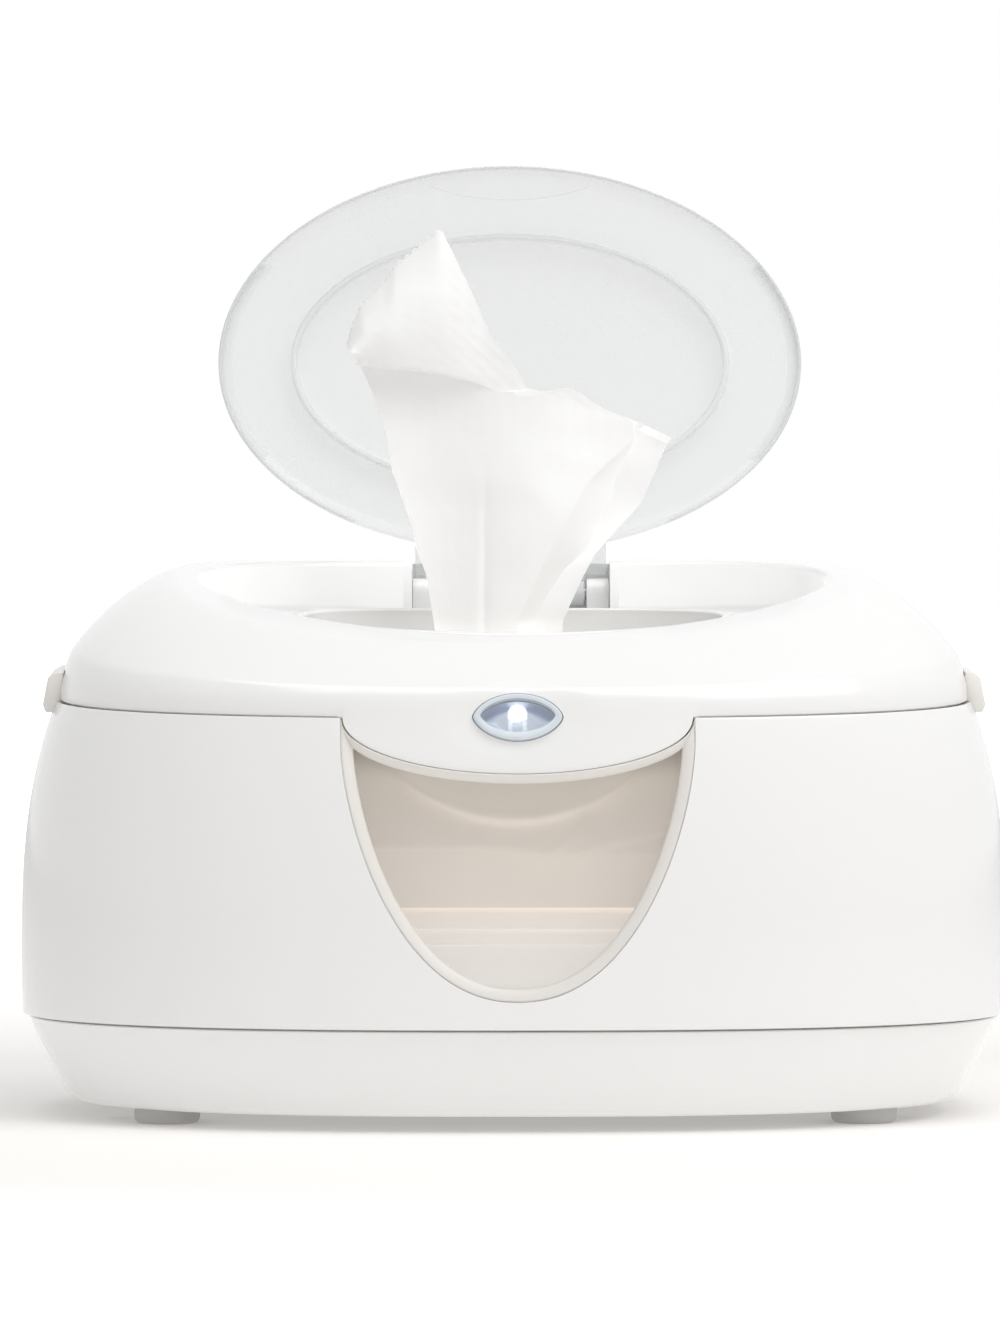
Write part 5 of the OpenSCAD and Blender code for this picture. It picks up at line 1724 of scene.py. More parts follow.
def pointed_oval(width: float, height: float, steps: int) -> Points:
    """Return the corners of an oval with softly pointed ends.

    Args:
        width: Its width.
        height: Its height.
        steps: Steps along its upper and its lower side.

    Returns:
        The corners in X and Y, anticlockwise from the right tip.
    """
    x = np.cos(np.linspace(0, math.pi, steps, endpoint=False))
    upper = np.column_stack([width / 2 * x, height / 2 * (1 - x * x) ** 0.65])
    return np.vstack([upper, -upper])


@dataclass
class LightButton:
    """The clear button, its reflector cup and its lamp.

    Attributes:
        form: The housing's form.
        width: Width of the lens.
        height: Height of the lens.
        steps: Steps along each arc of the oval.
    """

    form: HousingForm = FORM
    width: float = 22.6 * MM
    height: float = 12 * MM
    steps: int = 48

    def build(self) -> None:
        """Build and dress the button, the reflector and the lamp."""
        self.lens()
        self.reflector()
        self.lamp()
        self.lamp_frame()

    def ring(self, width: float, height: float, z: float, up: float = 0.0) -> Points:
        """Return a ring on a pointed oval, moved up by a distance."""
        outline = pointed_oval(width, height, self.steps) + (0, up)
        return np.column_stack([outline, np.full(len(outline), z)])

    def lens(self) -> bpy.types.Object:
        """Build the clear lens with its rounded rim and flange."""
        w, h = self.width, self.height
        low, near = -5.5 * MM, -3.9 * MM
        rows = [(w + 4.4 * MM, h + 4.4 * MM, low), (w + 4.4 * MM, h + 4.4 * MM, near), (w, h, near), (w, h, 0.0)]
        rows += [(w - 0.12 * MM, h - 0.12 * MM, 0.3 * MM), (w - 0.5 * MM, h - 0.5 * MM, 0.5 * MM)]
        rows += [(w - 1.2 * MM, h - 1.1 * MM, 0.6 * MM), (w - 2.4 * MM, h - 2.1 * MM, 0.5 * MM)]
        clear_w, clear_h, blend, up = w - 3.6 * MM, h - 3.4 * MM, 0.3 * MM, 0.3 * MM
        rows += [(clear_w + blend, clear_h + blend, 0.46 * MM, up), (clear_w - blend, clear_h - blend, 0.45 * MM, up)]
        rows += [((w - 4.2 * MM) * k, (h - 3.8 * MM) * k, 0.45 * MM + 0.12 * MM * (1 - k * k)) for k in (0.9, 0.5, 0.2)]
        top = (0, 0, 0.58 * MM)
        inner_w, inner_h = w - 3 * MM, h - 2.6 * MM
        rows_in = [(inner_w * k, inner_h * k, -0.9 * MM) for k in (0.2, 0.5, 0.7)]
        rows_in += [(clear_w + g, clear_h + g, -0.9 * MM, up) for g in (-blend, blend)]
        rows_in += [(inner_w - 0.5 * MM, inner_h - 0.5 * MM, -0.95 * MM), (inner_w, inner_h, -1.4 * MM), (inner_w, inner_h, low)]
        rings = [self.ring(*row) for row in reversed(rows)]
        obj = skin("button_lens", rings, False, top, None)
        under = skin("under", [self.ring(*row) for row in rows_in], False, (0, 0, -0.9 * MM), None)
        work = bmesh.new()
        work.from_mesh(obj.data)
        work.from_mesh(under.data)
        bpy.data.objects.remove(under)
        work.verts.ensure_lookup_table()
        count = 2 * self.steps
        first = [v for v in work.verts if abs(v.co.z - low) < 1e-7]
        outer, inner = first[:count], first[count:]
        for j in range(count):
            k = (j + 1) % count
            work.faces.new((outer[j], outer[k], inner[k], inner[j]))
        bmesh.ops.recalc_face_normals(work, faces=work.faces)
        work.to_mesh(obj.data)
        work.free()
        tidy(obj, 40)

        def thick(points: Points) -> Points:
            """Return 1 on the clear rim and 0 in front of the lamp."""
            reach = np.maximum(0, 1 - (2 * points[:, 0] / clear_w) ** 2) ** 0.65
            rim = np.abs(points[:, 1] - up) > clear_h / 2 * reach - 1e-6
            return (rim | (points[:, 2] < -1.2 * MM)).astype(float)

        # The mark makes the rim denser and gives it a faint painted glow.
        turned(mark_thickness_and_glow(obj, thick), button_place(self.form, 0.6 * MM))
        return finish_piece(obj, Slot.BUTTON, "light_button", "light_button")

    def reflector(self) -> bpy.types.Object:
        """Build the silvered cup as a smooth bowl round the lamp."""
        w, h = self.width - 3.4 * MM, self.height - 2.9 * MM
        rim, low = -2.85 * MM, -8.9 * MM
        rows = [(w, h, low), (w, h, rim), (w - 0.3 * MM, h - 0.3 * MM, rim)]
        for k in range(1, 9):
            t = math.pi / 2 * k / 8
            shrink = 1 - math.cos(t)
            rows.append(((w - 0.4 * MM) * (1 - 0.5 * shrink), (h - 0.4 * MM) * (1 - 0.4 * shrink), rim - 5.2 * MM * math.sin(t)))
        rings = [self.ring(*row) for row in rows]
        obj = skin("reflector_cup", rings, False, (0, 0, low), (0, 0, rim - 5.2 * MM))
        turn = np.linspace(0, math.pi, 17)
        arch = np.column_stack([2.58 * np.cos(turn), 1.85 + 2.58 * np.sin(turn)])
        room = np.vstack([[(-3.1, -2.6), (-3.1, -3.95), (3.1, -3.95), (3.1, -2.6), (2.58, -2.6)], arch, [(-2.58, -2.6)]])
        cut(tidy(obj, 50), prism("lamp_room", room * MM, -8.6 * MM, 0))
        obj.data.set_sharp_from_angle(angle=math.radians(50))
        turned(obj, button_place(self.form, 0.6 * MM))
        return finish_piece(obj, Slot.MIRROR, "lid", "reflector")

    def lamp(self) -> bpy.types.Object:
        """Build the lamp: a round body with a dome and a foot ring, on two legs."""
        foot, radius, tall = -3.7 * MM, 2.5 * MM, 8.05 * MM
        dome = [
            (radius * math.cos(t), foot + tall - radius + radius * math.sin(t)) for t in np.linspace(0, math.pi / 2, 12)
        ]
        profile = [(0, foot), (2.7 * MM, foot), (2.9 * MM, foot + 0.2 * MM), (2.9 * MM, foot + 1 * MM), (radius, foot + 1 * MM)]
        profile += [(radius, foot + up * MM) for up in (2, 3, 4, 5)] + dome
        body = turned(lathe("lamp", profile, 48), Matrix.Rotation(-math.pi / 2, 4, "X"))
        body = turned(body, Matrix.Translation((0, 0, -5.65 * MM)))
        legs = [rod("leg", 0.3 * MM, -10.3 * MM, -5.65 * MM, 0, 20) for _ in (0, 1)]
        for side, leg in zip((-1, 1), legs):
            turned(leg, Matrix.Translation((side * 1.27 * MM, -3.2 * MM, 0)))
        obj = join("lamp_body", [body, *legs])
        mark_thickness_and_glow(obj, lambda points: points[:, 1] / MM / 1.2)
        turned(obj, button_place(self.form, 0.6 * MM))
        return finish_piece(obj, Slot.LAMP, "lid", "led")

    def lamp_frame(self) -> bpy.types.Object:
        """Build the metal frame inside the lamp: two posts, one with a cup, which glow with painted light."""
        posts = []
        for side, tall in ((-1, 3.6), (1, 3.3)):
            x = side * 1.85
            low = block("post", ((x - 0.55) * MM, -3.4 * MM, -0.2 * MM), ((x + 0.55) * MM, (tall - 3.4) * MM, 0.2 * MM))
            posts.append(soften(tidy(low), 0.08 * MM, 2, 40))
        cup = prism("cup", np.array([(-1.3, -0.4), (0.3, -0.4), (0.1, 0.6), (-1.1, 0.6)]) * MM, -0.3 * MM, 0.3 * MM)
        posts.append(soften(cup, 0.06 * MM, 2, 40))
        frame_piece = join("lamp_frame", posts)
        # Half the lamp's glow on the posts: painted light that makes them shine as bright bars.
        mark_thickness_and_glow(frame_piece, lambda points: np.full(len(points), 0.5))
        turned(frame_piece, button_place(self.form, 0.6 * MM) @ Matrix.Translation((0, 0, -5.65 * MM)))
        return finish_piece(frame_piece, Slot.LAMP, "lid")


@dataclass
class FlipDoor:
    """The clear bowed door with its sealing ring, thumb grip and hinge barrel.

    Attributes:
        hinge: Y and height of the hinge pin.
        lean: How far the open door leans back, in radians.
        reach: From the hinge to the door's near edge.
        size: Width and height of the oval.
        bow: How far it bows.
        thick: Its thickness.
        ring: Width and height of the sealing ring.
        ring_mid: From the hinge to the ring's middle.
        ring_thick: Thickness of the ring; not used.
        ring_high: Height of the ring.
        bead: Height of the bead along the edge; not used.
    """

    hinge: tuple[float, float] = (64 * MM, 135.903 * MM)
    lean: float = math.radians(12)
    reach: float = 11.4 * MM
    size: tuple[float, float] = (160 * MM, 108.4 * MM)
    bow: float = 5 * MM
    thick: float = 2 * MM
    ring: tuple[float, float] = (120 * MM, 72 * MM)
    ring_mid: float = 64.63 * MM
    ring_thick: float = 1.6 * MM
    ring_high: float = 4 * MM
    bead: float = 0.7 * MM

    @property
    def middle(self) -> float:
        """Return the distance from the hinge to the oval's middle."""
        return self.reach + self.size[1] / 2

    def surface(self, y: Points, off: float) -> Points:
        """Return the height of the bowed plate, off its middle surface."""
        half = self.size[1] / 2
        r = (half * half + self.bow * self.bow) / (2 * self.bow)
        return r - self.bow - np.sqrt(np.maximum((r - off) ** 2 - (y - self.middle) ** 2, 0))

    def oval(self, width: float, height: float, mid: float, off: float, steps: int = 192) -> Points:
        """Return an oval ring on the bowed plate.

        Args:
            width: Its width.
            height: Its height.
            mid: From the hinge to its middle.
            off: How far off the middle surface, positive to the inside.
            steps: Points on the ring.

        Returns:
            The ring.
        """
        t = np.linspace(0, 2 * math.pi, steps, endpoint=False)
        x, y = width / 2 * np.cos(t), mid + height / 2 * np.sin(t)
        return np.column_stack([x, y, self.surface(y, off)])

    def build(self) -> None:
        """Build and dress the door."""
        w, h = self.size
        half, mid = self.thick / 2, self.middle
        rings = [self.oval(w * k, h * k, mid, -half) for k in (0.1, 0.25, 0.4, 0.55, 0.7, 0.85, 0.95)]
        rings += [self.oval(w - g * MM, h - g * MM, mid, o * MM) for g, o in ((1, -1), (0.3, -0.85), (0, -0.4), (0, 1.1))]
        rings += [self.oval(w - g * MM, h - g * MM, mid, o * MM) for g, o in ((0.25, 1.5), (0.8, 1.7), (1.9, 1.65), (2.5, 1.2), (3.1, 1))]
        rw, rh = self.ring
        for k in (0.7, 0.4, 0.1):
            rings.append(self.oval(rw + (w - rw) * k, rh + (h - rh) * k, self.ring_mid + (mid - self.ring_mid) * k, half))
        high = self.ring_high
        wall = ((1.4, 0), (0.4, 0.25 * MM), (0, 1 * MM), (0, high - 0.6 * MM), (-0.3, high - 0.15 * MM), (-0.9, high))
        rings += [self.oval(rw + g * MM, rh + g * MM, self.ring_mid, half + o) for g, o in wall]
        inside = ((-2.3, high), (-2.9, high - 0.15 * MM), (-3.2, high - 0.6 * MM), (-3.2, 1 * MM), (-3.6, 0.25 * MM), (-4.6, 0))
        rings += [self.oval(rw + g * MM, rh + g * MM, self.ring_mid, half + o) for g, o in inside]
        rings += [self.oval(rw * k, rh * k, self.ring_mid, half) for k in (0.85, 0.65, 0.45, 0.25, 0.1)]
        tips = [
            (0.0, mid, float(self.surface(np.array(mid), -half))),
            (0.0, self.ring_mid, float(self.surface(np.array(self.ring_mid), half))),
        ]
        plate = tidy(skin("flip_door_plate", rings, False, tips[0], tips[1]), 50)
        cut(plate, self.thumb_grip())
        obj = join("flip_door_moulding", [plate, self.neck()])
        place = Matrix.Translation((0, *self.hinge)) @ Matrix.Rotation(math.pi / 2 - self.lean, 4, "X")

        def thick(points: Points) -> Points:
            """Return 1 on the hinge barrel, less on the ring's wall and 0 on the plate."""
            barrel = (np.hypot(points[:, 1], points[:, 2]) < 4.2 * MM) * 1.0
            above = points[:, 2] - self.surface(points[:, 1], half)
            ring_wall = np.where(above > 3 * MM, 0.7, np.clip(above / (6 * MM), 0, 0.3))
            edge = np.hypot(points[:, 0] / (w / 2), (points[:, 1] - mid) / (h / 2)) > 0.993
            return np.where(points[:, 1] > 20 * MM, np.maximum(ring_wall, edge * 0.9), barrel)

        turned(mark_thickness_and_glow(obj, thick), place)
        finish_piece(obj, Slot.DOOR, "flip_door", "flip_door")

    def thumb_grip(self) -> bpy.types.Object:
        """Return the tool that sinks the thumb grip along the door's top edge."""
        w, h = self.size
        x = np.linspace(-22.2, 22.2, 49) * MM
        low = self.middle + h / 2 - 9.2 * MM + 68.4 * MM - np.sqrt((68.4 * MM) ** 2 - x**2)
        high = self.middle + (h / 2 - 1.7 * MM) * np.sqrt(1 - (x / (w / 2 - 1.7 * MM)) ** 2)
        high = np.maximum(high, low + 0.05 * MM)
        outline = np.vstack([np.column_stack([x, low]), np.column_stack([x, high])[::-1][1:-1]])
        face = self.surface(outline[:, 1], self.thick / 2)
        rings = [np.column_stack([outline, face + off]) for off in (-0.5 * MM, 4 * MM)]
        y = self.middle + h / 2 - 5.5 * MM
        level = float(self.surface(np.array(y), self.thick / 2))
        return tidy(skin("grip", rings, False, (0, y, level - 0.5 * MM), (0, y, level + 4 * MM)))

    def neck(self) -> bpy.types.Object:
        """Build the neck and the hinge barrel."""
        half = self.thick / 2
        neck = block("neck", (-26 * MM, 5 * MM, -half), (26 * MM, 16.4 * MM, half))
        arm = block("arm", (-20.1 * MM, 0, -half), (20.1 * MM, 6 * MM, half))
        stop = block("stop", (-12 * MM, 7.7 * MM, -half - 0.6 * MM), (12 * MM, 9.7 * MM, 0))
        barrel = rod("barrel", 3.4 * MM, -20.1 * MM, 20.1 * MM, 0.4 * MM, 64)
        cut(barrel, rod("bore", 1.3 * MM, -30 * MM, 30 * MM, 0, 40))
        turned(barrel, Matrix.Rotation(math.pi / 2, 4, "Y"))
        for piece in (neck, arm, stop):
            soften(tidy(piece), 0.3 * MM, 2, 40)
        return join("neck", [neck, arm, stop, barrel])


@dataclass
class Wipes:
    """The stack of folded wipes, the loose top wipe and the wipe that is pulled out.

    Attributes:
        seed: Start of the small random creases.
        thickness: Thickness of a wet wipe.
    """

    seed: int = 7
    thickness: float = 0.45 * MM

    def build(self) -> None:
        """Build and dress the wipes."""
        self.stack()
        self.loose()
        self.pulled()

    @staticmethod
    def creases(points: Points, seed: int, size: float, height: float) -> Points:
        """Return soft random creases for a set of points.

        Args:
            points: Two columns of places, in metres.
            seed: Start of the random numbers.
            size: Size of the creases.
            height: Their height.

        Returns:
            The height at each place.
        """
        rng = np.random.default_rng(seed)
        total = np.zeros(len(points))
        for k in range(14):
            way = rng.uniform(0, 2 * math.pi)
            scale = size * rng.uniform(0.5, 1.8)
            phase = rng.uniform(0, 2 * math.pi)
            wave = np.sin((points[:, 0] * math.cos(way) + points[:, 1] * math.sin(way)) / scale * 2 * math.pi + phase)
            total += (1 - np.abs(wave)) * rng.uniform(0.4, 1.0)
        return height * (total / 14 - 0.25) * 2

    def stack(self) -> bpy.types.Object:
        """Build the stack: rounded folds on all sides and a soft crown."""
        low, high, crown = 16.1 * MM, 52 * MM, 9 * MM
        folds = [(16.1, 0.4), (22, 0.4), (27.5, 0.4), (33, 0.2), (37.6, 0.15), (41.8, 0.2), (46.2, 0.45), (50, 0.45), (56.4, 0.7), (62, 0.5)]
        count = 160
        way = np.linspace(0, 2 * math.pi, count, endpoint=False)
        rng = np.random.default_rng(self.seed)
        rings = []

        def ring(a: float, b: float, z: Points | float, shift: float) -> Points:
            """Return a ring round the stack."""
            r = ((np.abs(np.cos(way)) / a) ** 5 + (np.abs(np.sin(way)) / b) ** 5) ** (-1 / 5)
            points = np.column_stack([r * np.cos(way), -1 * MM + r * np.sin(way), np.broadcast_to(z, way.shape)])
            points[:, 1] += shift
            return points

        ends = [f[0] for f in folds[1:]] + [(low + high) / MM]
        for k, ((start, groove), end) in enumerate(zip(folds, ends)):
            step = (end - start) * MM
            out = (rng.uniform(0, 0.8) + (0.8 if start > 56 else 0)) * MM
            shift = rng.uniform(-0.3, 0.3) * MM
            z = start * MM
            sway = 0.3 * MM * np.sin(way * 3 + k) * (k / len(folds))
            rings.append(ring(90 * MM - out, 56 * MM - out, z + 0.05 * step + sway, shift))
            for j in range(1, 6):
                t = math.pi * j / 6
                bulge = groove * MM * math.sin(t) ** 0.4
                rings.append(ring(90 * MM - out + bulge, 56 * MM - out + bulge, z + step * (0.5 - 0.43 * math.cos(t)) + sway, shift))
        top = low + high
        for k in (0.96, 0.9, 0.8, 0.65, 0.5, 0.35, 0.2):
            soft = crown * (1 - k**1.6)
            layer = ring(90 * MM * k, 56 * MM * k, top + soft, 0)
            layer[:, 2] += self.creases(layer[:, :2], 5, 0.05, 0.6 * MM) - 0.5 * MM
            rings.append(layer)
        obj = skin("wipe_stack_folds", rings, False, (0, -1 * MM, low), (0, -1 * MM, top + crown - 0.3 * MM))
        tidy(obj, 60)
        # Painted glow on the stack below 66 mm, fading out by 68 mm, where it shows through the window.
        mark_thickness_and_glow(obj, lambda points: (68 * MM - points[:, 2]) / (2 * MM))
        finish_piece(obj, Slot.CLOTH, "base", "wipe_stack")
        return obj

    def loose(self) -> bpy.types.Object:
        """Build the loose wipe that hangs over the stack's front with its sagging folds."""
        columns, rows = 170, 110
        u = np.linspace(-1, 1, columns)
        rings = []
        for v in np.linspace(0, 1, rows):
            hang = min(v / 0.3, 1.0)
            back = max(0.0, (v - 0.3) / 0.7)
            x = u * (74 - 24 * v) * MM
            mm = x / MM
            z = 56.2 + 13.8 * hang + 27 * back + 2.5 * u * u * back
            y = -60.3 + 1.0 * (1 - hang) + 34 * back**1.25 + 6 * u * u * back
            smile = z - (79.2 + 9.5 * (mm / 29) ** 2)
            strength = np.clip((40 - np.abs(mm)) / 14, 0, 1)
            rise = strength * (3.4 * np.exp(-((smile / 1.5) ** 2)) - 1.2 * np.exp(-(((smile + 3) / 1.8) ** 2)))
            lower = z - (71 - 3.2 * np.exp(-(((mm - 10) / 8) ** 2)) + 0.006 * np.maximum(mm - 12, 0) ** 2)
            rise += 1.5 / (1 + np.exp(-lower / 0.35))
            slant = ((mm - 8) * 0.77 - (z - 68.4) * 0.64) * np.clip((z - 66) / 4, 0, 1)
            rise += 1.2 * np.exp(-((slant / 1.6) ** 2)) * np.clip((88 - z) / 5, 0, 1) * np.clip((z - 68) / 3, 0, 1)
            points = np.column_stack([x, (y - rise) * MM, z * MM])
            points[:, 1] -= self.creases(points[:, [0, 2]], 11, 0.045, 0.6 * MM)
            rings.append(points)
        obj = mesh_object("loose_wipe", np.vstack(rings), grid_faces(rows, columns, False, False))
        tidy(obj, 180, 1e-6, False)
        self.thicken(obj)
        # Painted glow on the loose wipe below 89 mm, fading out by 97 mm, where it shows through the window.
        mark_thickness_and_glow(obj, lambda points: (97 * MM - points[:, 2]) / (8 * MM))
        finish_piece(obj, Slot.CLOTH, "base")
        return obj

    def thicken(self, obj: bpy.types.Object) -> None:
        """Give a sheet its thickness."""
        thick = obj.modifiers.new("thickness", "SOLIDIFY")
        thick.thickness = self.thickness
        thick.offset = 0
        bake(obj)
        obj.data.shade_smooth()
        obj.data.set_sharp_from_angle(angle=math.radians(60))

    @staticmethod
    def flat_area(obj: bpy.types.Object) -> float:
        """Return the area of one side of a thin closed sheet."""
        return sum(p.area for p in obj.data.polygons) / 2

    def pulled(self) -> bpy.types.Object:
        """Build the wipe that stands out of the mouth, with its folds and ragged edge."""
        left = [(77.4, -14), (110, -18), (129, -21.1), (134.3, -21.9), (141.7, -23.2), (147.5, -25.6), (154.1, -26.9)]
        left += [(168.9, -32.2), (179.4, -33.8), (190.5, -37.7), (197, -40.6)]
        ridge = [(77.4, 2), (129, 1), (140, 6), (152, 12), (165.9, 19.8), (171.2, 25.6), (176.5, 30.9), (190, 33)]
        valley = [(77.4, 5), (129, 6), (134.3, 7.9), (143, 13.7), (148.3, 19.8), (160.9, 25.9), (169.6, 27.9), (175.7, 31.6)]
        valley += [(190, 35)]
        right = [(77.4, 10), (129, 13), (140, 18), (145.9, 21.1), (152, 26.4), (160.1, 33.8), (174.9, 40.1), (177.3, 42)]
        top = [
            (0, -43.8, 201.6), (0.05, -43, 205.3), (0.1, -40.4, 211.9), (0.17, -33.8, 218.7), (0.21, -31.4, 222.7),
            (0.3, -19.3, 232.7), (0.37, -13.3, 220.6), (0.43, -6.6, 205.8), (0.47, -0.3, 197.1), (0.5, 3.9, 190.2),
            (0.58, 7.9, 189.6), (0.7, 15, 190.6), (0.78, 19.3, 188), (0.9, 24.5, 184.6), (1.0, 29, 182.8),
            (2.0, 34.7, 180.8), (3.0, 42, 177.2),
        ]
        fold_line = [(0, -42, 197.3), (0.14, -36.7, 196.3), (0.27, -26.9, 195.2), (0.4, -14, 191.6), (0.47, -5.5, 188.8)]
        fold_line += [(0.53, 4.8, 188.9)]
        s = np.concatenate([np.linspace(0, 0.52, 76), np.linspace(0.53, 1, 40), np.linspace(1, 2, 14)[1:], np.linspace(2, 3, 26)[1:]])
        top_s, top_x, top_z = np.array(top).T
        x_top, z_top = np.interp(s, top_s, top_x), np.interp(s, top_s, top_z)
        line_s, line_x, line_z = np.array(fold_line).T
        z_fold = np.where(s <= 0.53, np.interp(s, line_s, line_z), z_top - 2)
        x_fold = np.interp(s, line_s, line_x)
        amount = np.clip((0.47 - s) / 0.3, 0, 1)
        amount = amount * amount * (3 - 2 * amount)
        keys = [np.array(k).T for k in (left, ridge, valley, right)]
        jag = np.where(np.arange(len(s)) % 2 == 0, 0.35, -0.35) * MM
        rows = []

        def body(z: Points) -> Points:
            """Return the points of the upright part at a height for each column."""
            lines = [np.interp(z, k[0], k[1]) for k in keys]
            depth = [3.5 + 0 * z, -2.2 + 0 * z, 2.6 * np.clip((z - 125) / 30, 0, 1) + 0.2, 0.5 + 0 * z]
            x, y = np.zeros_like(z), np.zeros_like(z)
            for k in range(3):
                part = (s >= k) & (s <= k + 1)
                t = s[part] - k
                x[part] = lines[k][part] * (1 - t) + lines[k + 1][part] * t
                ease = t * t * (3 - 2 * t) if k == 0 else t
                y[part] = depth[k][part] * (1 - ease) + depth[k + 1][part] * ease
            crease = 0.6 * np.exp(-(((x + 7.6) / 1.2) ** 2)) * np.clip((175 - z) / 30, 0, 1)
            y = y + crease + 1.5 * np.sin(x / 9 + z / 40) * np.clip((z - 120) / 40, 0, 1)
            return np.column_stack([x, y + 2, z])

        for v in np.linspace(0, 1, 72):
            z = 77.4 + (z_fold - 77.4) * v
            rows.append(body(z))
        foot = rows[-1]
        turn = [(1.5, 0.6), (3.2, 0.9), (4.6, 0.2), (5.0, -1.4), (4.0, -3.0), (2.0, -4.2), (0.4, -5.2), (-0.5, -6.2), (-0.2, -7.2), (1.2, -7.7)]
        for k, (up, out) in enumerate(turn):
            share = (k + 1) / len(turn)
            plain = foot.copy()
            plain[:, 0] += (x_fold - foot[:, 0]) * share * amount
            plain[:, 1] += out * amount
            plain[:, 2] += up * amount + 0.6 * share * (1 - amount)
            rows.append(plain)
        last = rows[-1]
        for v in np.linspace(0, 1, 44)[1:]:
            x = last[:, 0] + (x_top - last[:, 0]) * v
            z = last[:, 2] + (z_top - last[:, 2]) * v
            lean = 9 * v * v * amount - 3.2 * np.sin(v * math.pi) * amount
            rows.append(np.column_stack([x, last[:, 1] + lean, z]))
        points = np.array(rows) * MM
        flat = points.reshape(-1, 3)
        flat[:, 1] -= self.creases(flat[:, [0, 2]], 3, 0.03, 0.9 * MM) * np.clip((flat[:, 2] - 0.12) / 0.03, 0, 1)
        flat[:, 1] -= self.creases(flat[:, [0, 2]], 21, 0.011, 0.28 * MM)
        points = flat.reshape(points.shape)
        points[-1, :, 0] -= jag * (s < 0.3)
        points[-1, :, 2] += jag * (s < 0.3)
        obj = mesh_object("pulled_wipe_sheet", points.reshape(-1, 3), grid_faces(len(rows), len(s), False, False))
        tidy(obj, 180, 1e-6, False)
        self.thicken(obj)
        # Painted light on the pulled wipe: brightest on its low part deep in the mouth, weaker above 165 mm.
        mark_thickness_and_glow(obj, lambda points: np.interp(points[:, 2] / MM, (128, 140, 165), (2.2, 1.8, 1)), 2.2)
        finish_piece(obj, Slot.CLOTH, "lid", "pulled_wipe")
        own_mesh(obj)
        return obj


@dataclass
class SmallParts:
    """Feet, screws, pins, springs and release tabs.

    Attributes:
        form: The housing's form.
    """

    form: HousingForm = FORM

    def build(self) -> None:
        """Build and dress the small parts."""
        self.feet()
        self.screws()
        self.springs()
        polished("lid_hinge_pins", Slot.STEEL, 0.3 * MM)
        polished("left_release_tab", Slot.GREY, 0.5 * MM)
        polished("right_release_tab", Slot.GREY, 0.5 * MM)

    def feet(self) -> bpy.types.Object:
        """Build the four rubber feet."""
        feet = []
        profile = [(0, 0.5), (5.2, 0.5), (6.0, 0.0), (7.1, 0.0), (7.7, 0.2), (8.2, 0.7), (8.5, 1.4), (8.5, 4.8), (0, 4.8)]
        for x in (-90, 90):
            for y in (-44, 44):
                foot = lathe("foot", [(r * MM, z * MM) for r, z in profile], 64)
                feet.append(turned(foot, Matrix.Translation((x * MM, y * MM, 0))))
        return finish_piece(join("rubber_feet", feet), Slot.FOOT, "base", "feet")

    def points(self, name: str, spots: Sequence[tuple[float, float, float]]) -> bpy.types.Object:
        """Return an object of loose points, given in millimetres."""
        mesh = bpy.data.meshes.new(name)
        mesh.from_pydata([tuple(c * MM for c in p) for p in spots], [], [])
        obj = bpy.data.objects.new(name, mesh)
        bpy.context.scene.collection.objects.link(obj)
        return obj

    def screws(self) -> None:
        """Set the tray's and the lid cover's screws."""
        recipe = screw_recipe()
        sizes = {"Head_radius": 3 * MM, "Head_height": 2 * MM, "Shank_radius": 1.5 * MM, "Pitch": 1.1 * MM}
        base = self.points("tray_screws", [(x * 103, y * 30, 10) for x in (-1, 1) for y in (-1, 1)])
        recipe.make(base, Slot.STEEL, Shank_length=16 * MM, Tilt=0.0, **sizes)
        finish_piece(base, Slot.STEEL, "base", "base_screws")
        spots = [(100.5, 36), (100.5, -36), (50, 65), (62, -62)]
        cover = self.points("lid_cover_screws", [(s * x, y, 2.7) for x, y in spots for s in (-1, 1)])
        turned(cover, self.form.at_seam())
        recipe.make(cover, Slot.STEEL, Shank_length=8 * MM, Tilt=self.form.tilt, **sizes)
        finish_piece(cover, Slot.STEEL, "lid", "cover_screws")

    def springs(self) -> None:
        """Wind a spring behind each release tab and give it its own copy of the mesh."""
        edge = float(self.form.half_width(self.form.seam)) / MM
        start, end = edge - 18.4, edge - 10.1
        recipe = coil_recipe()
        for side, name in ((-1, "left"), (1, "right")):
            coil = self.points(f"{name}_tab_spring", [(min(side * start, side * end), 0, 4.7)])
            recipe.make(coil, Slot.STEEL, Radius=1.6 * MM, Wire=0.4 * MM, Turns=4.0, Length=(end - start) * MM)
            turned(coil, self.form.at_seam())
            finish_piece(coil, Slot.STEEL, "lid", "release_springs")
            give(coil)


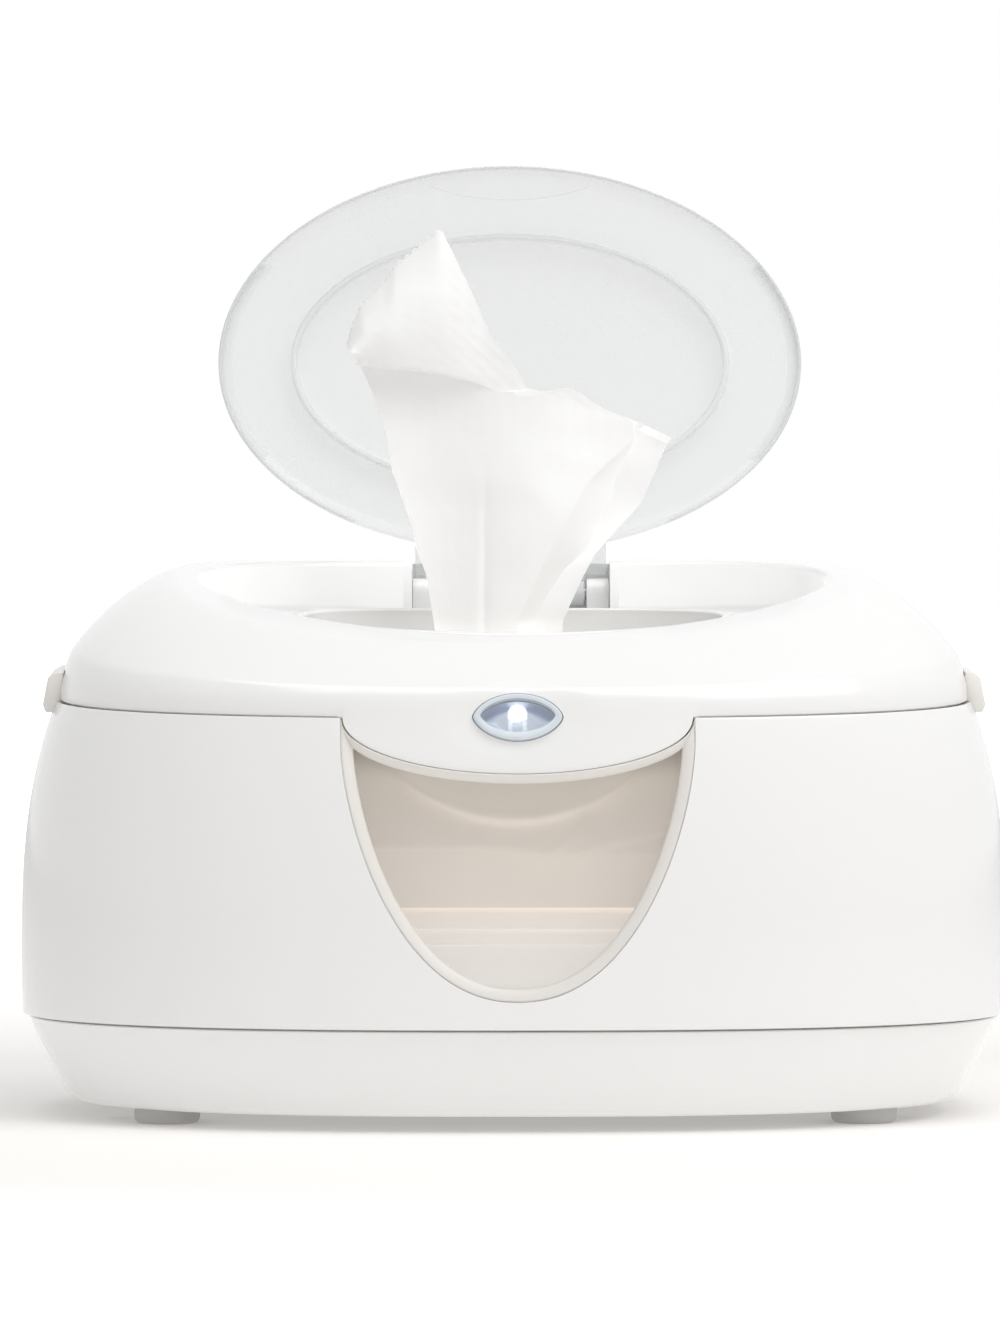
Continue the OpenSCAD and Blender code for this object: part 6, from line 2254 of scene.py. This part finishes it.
@dataclass
class Studio:
    """The pale floor, the soft lamps and the camera.

    Attributes:
        pixel: Focal length in pixels of a frame 1333 pixels high.
        eye: Place of the camera.
        look: Point it looks at.
        floor_glow: Strength of the floor's own white near the object.
    """

    floor_glow: float = 0.13
    pixel: float = 7580
    eye: tuple[float, float, float] = (-0.025, -2.0, 0.150)
    look: tuple[float, float, float] = (-0.0036, 0.0, 0.117)

    def build(self) -> None:
        """Set the floor, the world, the lamps and the camera."""
        self.floor()
        self.world()
        self.lamp("key", (0.75, -0.65, 1.2), 1.1, 8.0)
        self.lamp("top", (0.0, -0.2, 1.5), 1.2, 8.2)
        self.camera()
        scene = bpy.context.scene
        scene.view_settings.view_transform = "Standard"

    def floor(self) -> None:
        """Lay a wide pale floor that keeps the shadow and turns white further out."""
        points = [(x, y, 0.0) for y in (-6.0, 14.0) for x in (-9.0, 9.0)]
        floor = mesh_object("studio_floor", np.array(points), [(0, 1, 3, 2)])
        material = bpy.data.materials.new("studio_paper")
        material.use_nodes = True
        tree = material.node_tree
        shader = tree.nodes["Principled BSDF"]
        shader.inputs["Base Color"].default_value = (0.85, 0.83, 0.81, 1)
        shader.inputs["Roughness"].default_value = 0.9
        shader.inputs["Specular IOR Level"].default_value = 0.1
        light = tree.nodes.new("ShaderNodeLightPath")
        glow = tree.nodes.new("ShaderNodeEmission")
        glow.inputs["Color"].default_value = (1, 1, 1, 1)
        add = tree.nodes.new("ShaderNodeAddShader")
        place = tree.nodes.new("ShaderNodeTexCoord")
        far = tree.nodes.new("ShaderNodeVectorMath")
        far.operation = "LENGTH"
        span = tree.nodes.new("ShaderNodeMapRange")
        span.inputs["From Min"].default_value = 0.25
        span.inputs["From Max"].default_value = 1.4
        span.inputs["To Min"].default_value = self.floor_glow
        span.inputs["To Max"].default_value = 1.0
        seen = tree.nodes.new("ShaderNodeMix")
        seen.inputs["A"].default_value = 0.25
        tree.links.new(place.outputs["Object"], far.inputs[0])
        tree.links.new(far.outputs["Value"], span.inputs["Value"])
        tree.links.new(light.outputs["Is Camera Ray"], seen.inputs["Factor"])
        tree.links.new(span.outputs["Result"], seen.inputs["B"])
        tree.links.new(seen.outputs["Result"], glow.inputs["Strength"])
        tree.links.new(shader.outputs["BSDF"], add.inputs[0])
        tree.links.new(glow.outputs["Emission"], add.inputs[1])
        tree.links.new(add.outputs["Shader"], tree.nodes["Material Output"].inputs["Surface"])
        floor.data.materials.append(material)

    def world(self) -> None:
        """Light the scene evenly and show white behind it."""
        world = bpy.data.worlds.new("studio")
        bpy.context.scene.world = world
        world.use_nodes = True
        tree = world.node_tree
        back = tree.nodes["Background"]
        back.inputs["Color"].default_value = (1, 1, 1, 1)
        light = tree.nodes.new("ShaderNodeLightPath")
        span = tree.nodes.new("ShaderNodeMapRange")
        span.inputs["To Min"].default_value = 0.475
        span.inputs["To Max"].default_value = 1.0
        first = tree.nodes.new("ShaderNodeMath")
        first.operation = "MAXIMUM"
        second = tree.nodes.new("ShaderNodeMath")
        second.operation = "MAXIMUM"
        tree.links.new(light.outputs["Is Camera Ray"], first.inputs[0])
        tree.links.new(light.outputs["Is Glossy Ray"], first.inputs[1])
        tree.links.new(first.outputs["Value"], second.inputs[0])
        tree.links.new(light.outputs["Is Transmission Ray"], second.inputs[1])
        tree.links.new(second.outputs["Value"], span.inputs["Value"])
        tree.links.new(span.outputs["Result"], back.inputs["Strength"])

    def lamp(self, name: str, place: tuple[float, float, float], size: float, power: float) -> None:
        """Hang a large soft lamp that faces the object.

        Args:
            name: Its name.
            place: Where it hangs.
            size: Its width and height.
            power: Its power in watts.
        """
        light = bpy.data.lights.new(name, "AREA")
        light.shape = "SQUARE"
        light.size = size
        light.energy = power
        obj = bpy.data.objects.new(name, light)
        obj.location = place
        aim = Vector((0, 0, 0.1)) - Vector(place)
        obj.rotation_euler = aim.to_track_quat("-Z", "Y").to_euler()
        bpy.context.scene.collection.objects.link(obj)

    def camera(self) -> None:
        """Place the camera at the photograph's angle."""
        lens = bpy.data.cameras.new("view")
        lens.sensor_fit = "VERTICAL"
        lens.sensor_height = 36
        lens.lens = self.pixel * 36 / 1333
        lens.clip_start = 0.05
        obj = bpy.data.objects.new("view", lens)
        obj.location = self.eye
        aim = Vector(self.look) - Vector(self.eye)
        obj.rotation_euler = aim.to_track_quat("-Z", "Y").to_euler()
        bpy.context.scene.collection.objects.link(obj)
        bpy.context.scene.camera = obj


def main() -> None:
    """Build the warmer piece by piece."""
    logging.basicConfig(level=logging.INFO, format="%(message)s")
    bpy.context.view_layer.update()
    for assembly in (Housing(), Lid(), LightButton(), FlipDoor(), SmallParts(), Wipes(), Studio()):
        log.info("building %s", type(assembly).__name__)
        assembly.build()


if __name__ == "__main__":
    main()
